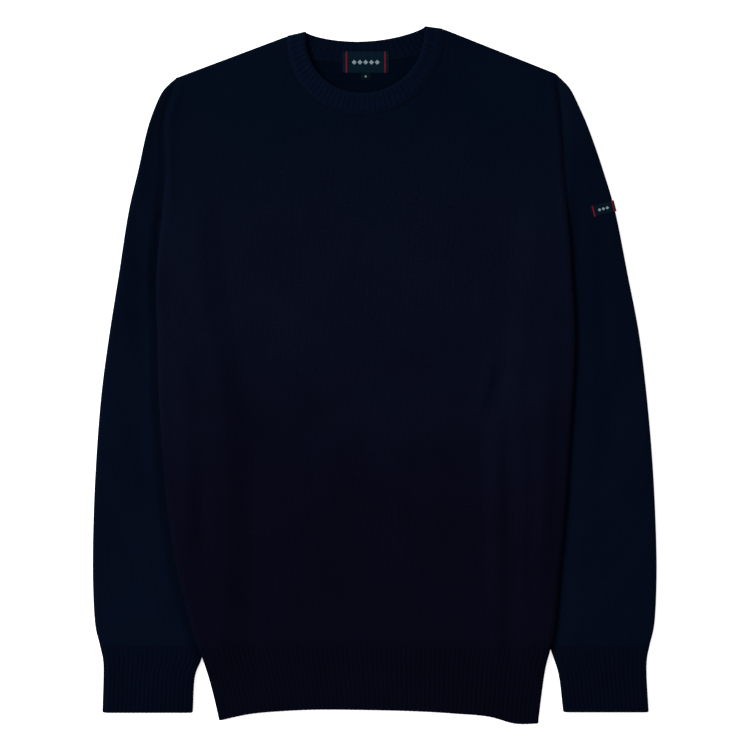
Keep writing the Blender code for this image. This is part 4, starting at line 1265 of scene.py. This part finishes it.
# %% The stitch tree
def make_stitch_tree():
    tree = bpy.data.node_groups.new("linking_stitches", "GeometryNodeTree")
    add_sockets(
        tree, "INPUT", Path="Geometry", Pitch="Float", Length="Float", Width="Float", Yarn="Float",
        Unevenness="Float", Seed="Int", Thread="Material",
    )
    add_sockets(tree, "OUTPUT", Stitches="Geometry")
    given = add_node(tree, "NodeGroupInput").outputs
    curve = add_node(tree, "GeometryNodeMeshToCurve", {"Mesh": given["Path"]})
    places = add_node(
        tree, "GeometryNodeResampleCurve", {"Curve": curve.outputs[0], "Length": given["Pitch"]},
        mode="LENGTH",
    )
    legs = add_node(tree, "GeometryNodeJoinGeometry")
    for sign in (1.0, -1.0):
        tree.links.new(add_stitch_leg(tree, given, sign), legs.inputs[0])
    tangent = add_node(tree, "GeometryNodeInputTangent").outputs[0]
    up = add_node(tree, "GeometryNodeInputNamedAttribute", {"Name": "up"}, data_type="FLOAT_VECTOR")
    ahead = add_node(tree, "FunctionNodeAlignRotationToVector", {"Vector": tangent}, axis="X")
    upright = add_node(
        tree, "FunctionNodeAlignRotationToVector",
        {"Rotation": ahead.outputs[0], "Vector": up.outputs[0]}, axis="Z", pivot_axis="X",
    )
    least = maths(tree, "SUBTRACT", 1.0, given["Unevenness"])
    most = maths(tree, "ADD", 1.0, given["Unevenness"])
    size = add_node(
        tree, "FunctionNodeRandomValue", {2: least, 3: most, "Seed": given["Seed"]}, data_type="FLOAT"
    )
    row = add_node(
        tree, "GeometryNodeInstanceOnPoints",
        {"Points": places.outputs[0], "Instance": legs.outputs[0], "Rotation": upright.outputs[0]},
    )
    tree.links.new(size.outputs[1], row.inputs["Scale"])
    real = add_node(tree, "GeometryNodeRealizeInstances", {"Geometry": row.outputs[0]})
    dyed = add_node(
        tree, "GeometryNodeSetMaterial", {"Geometry": real.outputs[0], "Material": given["Thread"]}
    )
    add_node(tree, "NodeGroupOutput", {"Stitches": dyed.outputs[0]})
    return tree


stitch_tree = make_stitch_tree()
print("stitch tree nodes:", len(stitch_tree.nodes))

# %% Make a row of stitches along a path
STITCH_UNEVENNESS = 0.07


def make_stitches(name, paths, ups, pitch, length, width, yarn, thread, seed):
    """paths are lists of points and ups the directions out of the cloth there, all in millimetres."""
    points = np.concatenate(paths)
    edges = []
    first = 0
    for path in paths:
        edges += [(first + k, first + k + 1) for k in range(len(path) - 1)]
        first += len(path)
    mesh = bpy.data.meshes.new(name)
    mesh.from_pydata(points * MM, edges, [])
    up = mesh.attributes.new("up", "FLOAT_VECTOR", "POINT")
    up.data.foreach_set("vector", np.concatenate(ups).ravel())
    piece = bpy.data.objects.new(name, mesh)
    bpy.context.scene.collection.objects.link(piece)
    sizes = {"Pitch": pitch * MM, "Length": length * MM, "Width": width * MM, "Yarn": yarn * MM}
    run_tree(piece, stitch_tree, Unevenness=STITCH_UNEVENNESS, Seed=seed, Thread=thread, **sizes)
    piece.data.shade_smooth()
    print(name, "faces:", len(piece.data.polygons))
    return piece


# %% [markdown]
# ## Where the chains run
#
# Every path is asked from the same functions as the cloth, so a chain lies on its seam: round the
# neck, down both armholes, along the shoulders and down the sides past the joins of the bands.

# %% Chain round the neck
NECK_CHAIN_ROOM = 0.5
FACE_UP = (0.0, 0.0, 1.0)
CHAIN_PITCH = 2.3


def path_over(x, y, z):
    return np.stack([x, y, z], axis=1)


neck_turns = np.linspace(0.03, 0.97, 90) * math.pi
front_x, front_y = neck_point(neck_turns, 0.0, NECK_CHAIN_ROOM)
front_path = path_over(front_x, front_y, front_middle(front_x, front_y) + 0.5 * KNIT + 0.35)
back_turns = np.linspace(1.1, 1.9, 60) * math.pi
back_x, back_y = neck_point(back_turns, 0.0, NECK_CHAIN_ROOM)
back_path = path_over(back_x, back_y, back_middle(back_x, back_y) + 0.5 * KNIT + 0.3)
neck_ups = [np.tile(FACE_UP, (len(path), 1)) for path in (front_path, back_path)]
neck_chain = make_stitches(
    "neck_linking_chain", [front_path, back_path], neck_ups, CHAIN_PITCH, 2.7, 1.7, 0.34, seam_yarn, 3
)

# %% Chains down the armholes
armhole_paths = []
armhole_ups = []
for side, corner, edge in ((-1.0, LEFT_SHOULDER, left_edge), (1.0, RIGHT_SHOULDER, right_edge)):
    y = np.linspace(corner[1] - FOLD_ROLL, JOINED_ABOVE - 22.0, 60)
    x = edge(y) + side * 0.1
    z = front_middle(x, y) - ARMHOLE_DIP + 0.5 * KNIT
    armhole_paths.append(path_over(x, y, z))
    armhole_ups.append(np.tile(FACE_UP, (len(y), 1)))
armhole_chain = make_stitches(
    "armhole_linking_chain", armhole_paths, armhole_ups, CHAIN_PITCH, 2.6, 1.5, 0.3, seam_yarn, 5
)

# %% Chains along the shoulders
shoulder_paths = []
shoulder_ups = []
for corner, turn in ((LEFT_SHOULDER, 0.0), (RIGHT_SHOULDER, math.pi)):
    neck_x, neck_y = neck_point(turn, 0.0, NECK_POINT_ROOM)
    share = np.linspace(0.01, 0.97, 40)
    x = corner[0] + (float(neck_x) - corner[0]) * share
    y = corner[1] + (float(neck_y) - corner[1]) * share - 0.35
    shoulder_paths.append(path_over(x, y, seam_level(x, y)))
    shoulder_ups.append(np.tile((0.0, 1.0, 0.15), (len(x), 1)))
shoulder_chain = make_stitches(
    "shoulder_linking_chain", shoulder_paths, shoulder_ups, CHAIN_PITCH, 2.6, 1.3, 0.28, seam_yarn, 7
)

# %% Chains down the sides
SIDE_CHAIN_END = -338.0
side_paths = []
side_ups = []
for side, edge in ((-1.0, left_edge), (1.0, right_edge)):
    y = np.linspace(OVER_BELOW - 5.0, SIDE_CHAIN_END, 150)
    x = edge(y) - side * 0.3
    side_paths.append(path_over(x, y, seam_level(x, y)))
    side_ups.append(np.tile((side, 0.0, 0.0), (len(y), 1)))
side_chain = make_stitches(
    "side_linking_chain", side_paths, side_ups, 2.6, 2.9, 1.3, 0.28, seam_yarn, 9
)

# %% [markdown]
# ## Labels
#
# A woven label is sewn inside the back neck, with a small loop tab under it, and a narrower one
# sits on the left sleeve at its outer fold. They are damask: a dark ground of fine satin weave
# with a lighter pattern thread. Each is laid on the finished meshes, found by dropping a ray from
# above, so it follows the cloth. The design is a plain row of diamonds between two thin red lines
# that stand upright near the label's ends.

# %% Level of the finished cloth
def cloth_tree(piece):
    points = [vertex.co.copy() for vertex in piece.data.vertices]
    return BVHTree.FromPolygons(points, [tuple(face.vertices) for face in piece.data.polygons])


def level_of(trees, x, y):
    start = Vector((x * MM, y * MM, 1.0))
    hits = [tree.ray_cast(start, Vector((0.0, 0.0, -1.0)))[0] for tree in trees]
    return max([hit.z / MM for hit in hits if hit is not None], default=0.0)


# %% Lay a label on the cloth
LABEL = 0.6
LABEL_ROOM = 0.1
LABEL_REACH = 1.6


def make_label(name, centre, size, turn, trees, material, steps):
    width, height = size
    across, up = steps
    u, v = np.meshgrid(
        np.linspace(-0.5, 0.5, across + 1) * width, np.linspace(-0.5, 0.5, up + 1) * height
    )
    x = centre[0] + u * math.cos(turn) - v * math.sin(turn)
    y = centre[1] + u * math.sin(turn) + v * math.cos(turn)
    z = np.zeros(x.shape)
    reach = (-LABEL_REACH, 0.0, LABEL_REACH)
    for place in np.ndindex(x.shape):
        z[place] = max(level_of(trees, x[place] + a, y[place] + b) for a in reach for b in reach)
    for _ in range(2):
        z[1:-1, 1:-1] = 0.2 * (z[1:-1, 1:-1] + z[:-2, 1:-1] + z[2:, 1:-1] + z[1:-1, :-2] + z[1:-1, 2:])
    grid = np.stack([x, y, z + LABEL_ROOM + 0.5 * LABEL], axis=2)
    piece = cloth_wall(name, grid, LABEL, ends=(0.3 * LABEL, 0.3 * LABEL))
    piece.data.materials.append(material)
    print(name, "lies", round(float(z.min()), 1), "to", round(float(z.max()), 1), "mm above the table")
    return piece


# %% [markdown]
# ## Woven label material
#
# The label's own UV map gives the place in metres from its lower left corner. Diamonds come from
# adding the distances across and up from each centre, the upright lines from how far a place is
# from the middle, and the weave is two crossed waves. Real label threads are about 0.15 mm apart;
# here they are several times as coarse, so that the weave shows at all.

# %% Diamonds in a row
LABEL_THREAD = 0.6 * MM


def distance_from(tree, place, line):
    return maths(tree, "ABSOLUTE", maths(tree, "SUBTRACT", place, line))


def diamond_row(tree, across, up, width, height, spacing, size, count):
    """A socket that is 1 inside a centred row of diamonds."""
    start = 0.5 * width - 0.5 * spacing * count
    share = maths(tree, "MULTIPLY", maths(tree, "SUBTRACT", across, start), 1.0 / spacing)
    aside = distance_from(tree, maths(tree, "FRACT", share), 0.5)
    above = distance_from(tree, up, 0.5 * height)
    reach = maths(tree, "ADD", maths(tree, "MULTIPLY", aside, spacing), above)
    diamond = maths(tree, "LESS_THAN", reach, size)
    spread = distance_from(tree, across, 0.5 * width)
    row = maths(tree, "LESS_THAN", spread, 0.5 * spacing * count)
    return maths(tree, "MULTIPLY", diamond, row)


# %% Woven label
LINE_PLACE = 0.42
LINE_HALF_WIDTH = 0.5 * MM


def make_woven_label(name, width, height, count, size, ground, pattern, line):
    material, tree, shader = new_material(name)
    place = add_node(tree, "ShaderNodeUVMap", uv_map="cloth").outputs[0]
    parts = add_node(tree, "ShaderNodeSeparateXYZ", {0: place}).outputs
    row = diamond_row(tree, parts["X"], parts["Y"], width, height, width / (count + 3), size, count)
    from_middle = distance_from(tree, parts["X"], 0.5 * width)
    bar = maths(tree, "LESS_THAN", distance_from(tree, from_middle, LINE_PLACE * width), LINE_HALF_WIDTH)
    drawn = mixed(tree, row, mixed(tree, bar, linear(ground), linear(line)), linear(pattern))
    threads, picks = [
        add_node(
            tree, "ShaderNodeTexWave", {"Vector": place, "Scale": 0.3 / LABEL_THREAD, "Distortion": 0.4},
            bands_direction=direction,
        ).outputs["Fac"]
        for direction in ("X", "Y")
    ]
    weave = maths(tree, "MULTIPLY", threads, picks)
    shade = maths(tree, "MULTIPLY_ADD", weave, 0.5, 0.6)
    bump = add_node(tree, "ShaderNodeBump", {"Strength": 0.5, "Distance": 0.08 * MM, "Height": weave})
    set_inputs(tree, shader, {
        "Base Color": mixed(tree, 1.0, drawn, shade, blend_type="MULTIPLY"),
        "Normal": bump.outputs[0],
        "Roughness": 0.55,
        "IOR": 1.5,
        "Specular IOR Level": 0.02,
    })
    return material


NECK_LABEL_SIZE = (46.0, 21.0)
SLEEVE_LABEL_SIZE = (24.0, 11.0)
SIZE_TAB_SIZE = (10.0, 7.0)
neck_weave = make_woven_label(
    "damask_neck_label", NECK_LABEL_SIZE[0] * MM, NECK_LABEL_SIZE[1] * MM, 5, 2.4 * MM,
    "#021724", "#8496a0", "#8c0a1c",
)
sleeve_weave = make_woven_label(
    "damask_sleeve_label", SLEEVE_LABEL_SIZE[0] * MM, SLEEVE_LABEL_SIZE[1] * MM, 3, 1.7 * MM,
    "#021420", "#8496a0", "#8c0a1c",
)
tab_weave = make_woven_label(
    "woven_tab", SIZE_TAB_SIZE[0] * MM, SIZE_TAB_SIZE[1] * MM, 1, 1.3 * MM,
    "#020f18", "#6f8088", "#020f18",
)
print("label materials:", neck_weave.name, sleeve_weave.name, tab_weave.name)

# %% Make the labels
NECK_LABEL_X = -9.0
NECK_LABEL_TOP = 322.5
NECK_LABEL_END = NECK_LABEL_TOP - NECK_LABEL_SIZE[1]
TAB_GAP = 0.2
SLEEVE_LABEL_PLACE = (228.0, 165.3)
SLEEVE_LABEL_TURN = math.radians(15.0)
inside_back = [cloth_tree(back_sheet), cloth_tree(neck_band)]
on_sleeve = [cloth_tree(sleeve_left_sheet)]
neck_place = (NECK_LABEL_X, NECK_LABEL_TOP - 0.5 * NECK_LABEL_SIZE[1])
neck_label = make_label(
    "neck_label_woven", neck_place, NECK_LABEL_SIZE, 0.0, inside_back, neck_weave, (46, 21)
)
tab_place = (NECK_LABEL_X, NECK_LABEL_END - TAB_GAP - 0.5 * SIZE_TAB_SIZE[1])
size_tab = make_label(
    "size_tab_woven", tab_place, SIZE_TAB_SIZE, 0.0, inside_back, tab_weave, (14, 10)
)
sleeve_label = make_label(
    "sleeve_label_woven", SLEEVE_LABEL_PLACE, SLEEVE_LABEL_SIZE, SLEEVE_LABEL_TURN, on_sleeve,
    sleeve_weave, (36, 18),
)

# %% Tacking stitches at the label's corners
TACK_ASIDE = 22.0
TACK_HALF = 1.6
tack_trees = [cloth_tree(neck_label)]
tack_paths = []
tack_ups = []
for corner_x in (-TACK_ASIDE, TACK_ASIDE):
    for top in (NECK_LABEL_TOP - 1.0, NECK_LABEL_END + 1.0):
        x = NECK_LABEL_X + corner_x + np.linspace(-TACK_HALF, TACK_HALF, 5)
        y = np.full(5, top)
        z = np.array([level_of(tack_trees, a, b) + 0.1 for a, b in zip(x, y)])
        tack_paths.append(path_over(x, y, z))
        tack_ups.append(np.tile(FACE_UP, (5, 1)))
label_tacks = make_stitches(
    "neck_label_tacks", tack_paths, tack_ups, 1.1, 1.3, 0.9, 0.16, label_thread, 11
)

# %% [markdown]
# ## The floor
#
# The photograph is a cut-out on pure white, seen from straight above, with no shadow round it. So the
# floor is matt white paper, lit from below as on a light table, which keeps the shadow beside the
# sweater faint.

# %% Floor
FLOOR_LEVEL = -0.25 * MM
FLOOR_HALF = 4.0
PAPER_GLOW = 0.7
floor_mesh = bpy.data.meshes.new("studio_floor")
floor_corners = ((-1.0, -1.0), (1.0, -1.0), (1.0, 1.0), (-1.0, 1.0))
floor_mesh.from_pydata(
    [(FLOOR_HALF * x, FLOOR_HALF * y, FLOOR_LEVEL) for x, y in floor_corners], [], [(0, 1, 2, 3)]
)
studio_floor = bpy.data.objects.new("studio_floor", floor_mesh)
bpy.context.scene.collection.objects.link(studio_floor)
paper, paper_tree, paper_shader = new_material("matt_white_paper")
paper_place = add_node(paper_tree, "ShaderNodeTexCoord").outputs["Object"]
paper_grain = add_node(paper_tree, "ShaderNodeTexNoise", {"Vector": paper_place, "Scale": 300.0})
set_inputs(paper_tree, paper_shader, {
    "Base Color": mixed(paper_tree, paper_grain.outputs[0], linear("#f6f6f6"), linear("#fafafa")),
    "Roughness": 0.95,
    "Specular IOR Level": 0.0,
    "Emission Color": (1.0, 1.0, 1.0, 1.0),
    "Emission Strength": PAPER_GLOW,
})
floor_mesh.materials.append(paper)
print("floor lies", -FLOOR_LEVEL / MM, "mm under the table's surface")

# %% [markdown]
#
# Every piece rides on the frame's one body and stands for the CAD node that it covers.

# %% Ride and replace
stands_for = {
    "front_panel": (front_sheet, "jersey"),
    "back_panel": (back_sheet, "jersey"),
    "sleeve_right": (sleeve_right_sheet, "jersey"),
    "sleeve_left": (sleeve_left_sheet, "jersey"),
    "cuff_right": (cuff_right_band, "rib"),
    "cuff_left": (cuff_left_band, "rib"),
    "hem_rib_front": (hem_front_band, "rib"),
    "hem_rib_back": (hem_back_band, "rib"),
    "neck_rib": (neck_band, "rib"),
    "neck_label": (neck_label, "woven_label"),
    "size_tab": (size_tab, "woven_tab"),
    "sleeve_label": (sleeve_label, "woven_label"),
}
for node, (piece, slot) in stands_for.items():
    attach(piece, "root")
    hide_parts(node)
for chain in (neck_chain, armhole_chain, shoulder_chain, side_chain):
    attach(chain, "root")
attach(label_tacks, "root")

# %% Cloth area of each sheet
def cloth_area(piece):
    """Half the surface of a closed wall, in square metres."""
    return 0.5 * sum(face.area for face in piece.data.polygons)


for node, (piece, _) in stands_for.items():
    print(node, "cloth", round(cloth_area(piece), 4), "square metres")

# %% [markdown]
# ## The studio
#
# The light is broad and soft and comes from the upper left: the chest is brightest and the hem and
# the right side are dimmer. One large soft lamp stands there, low enough to show the creases, and
# an even white world fills the shadows and keeps the paper white up to the corners.

# %% Light
FILL = 0.45
LAMP_PLACE = (-2.9, 1.1, 3.4)
LAMP_AIM = (0.0, 0.0, 0.0)
LAMP_SIZE = 2.4
LAMP_POWER = 230.0
world = bpy.data.worlds.new("studio_white")
world.use_nodes = True
world.node_tree.nodes["Background"].inputs["Color"].default_value = (1.0, 1.0, 1.0, 1.0)
world.node_tree.nodes["Background"].inputs["Strength"].default_value = FILL
bpy.context.scene.world = world
lamp_data = bpy.data.lights.new("soft_lamp", "AREA")
lamp_data.shape = "DISK"
lamp_data.size = LAMP_SIZE
lamp_data.energy = LAMP_POWER
soft_lamp = bpy.data.objects.new("soft_lamp", lamp_data)
bpy.context.scene.collection.objects.link(soft_lamp)
soft_lamp.location = LAMP_PLACE
aim = Vector(LAMP_AIM) - Vector(LAMP_PLACE)
soft_lamp.rotation_euler = aim.to_track_quat("-Z", "Y").to_euler()
soft_lamp.visible_camera = False
bpy.context.scene.view_settings.view_transform = "Standard"
print("lamp is", round(aim.length, 2), "m away, and", LAMP_SIZE, "m wide")

# %% Camera
# FRAME_WIDTH is the picture's width at the cloth, which gives the outline its size in the photograph
FRAME_WIDTH = 0.7486
CLOTH_LEVEL = 4.0 * MM
SENSOR = 36.0
LENS = 135.0
CAMERA_ABOVE = FRAME_WIDTH * LENS / SENSOR + CLOTH_LEVEL
camera_data = bpy.data.cameras.new("camera_above")
camera_data.lens = LENS
camera_data.sensor_width = SENSOR
camera_above = bpy.data.objects.new("camera_above", camera_data)
bpy.context.scene.collection.objects.link(camera_above)
camera_above.location = (0.0003, -0.0004, CAMERA_ABOVE)
bpy.context.scene.camera = camera_above
print("camera is", round(CAMERA_ABOVE, 3), "m above the table")
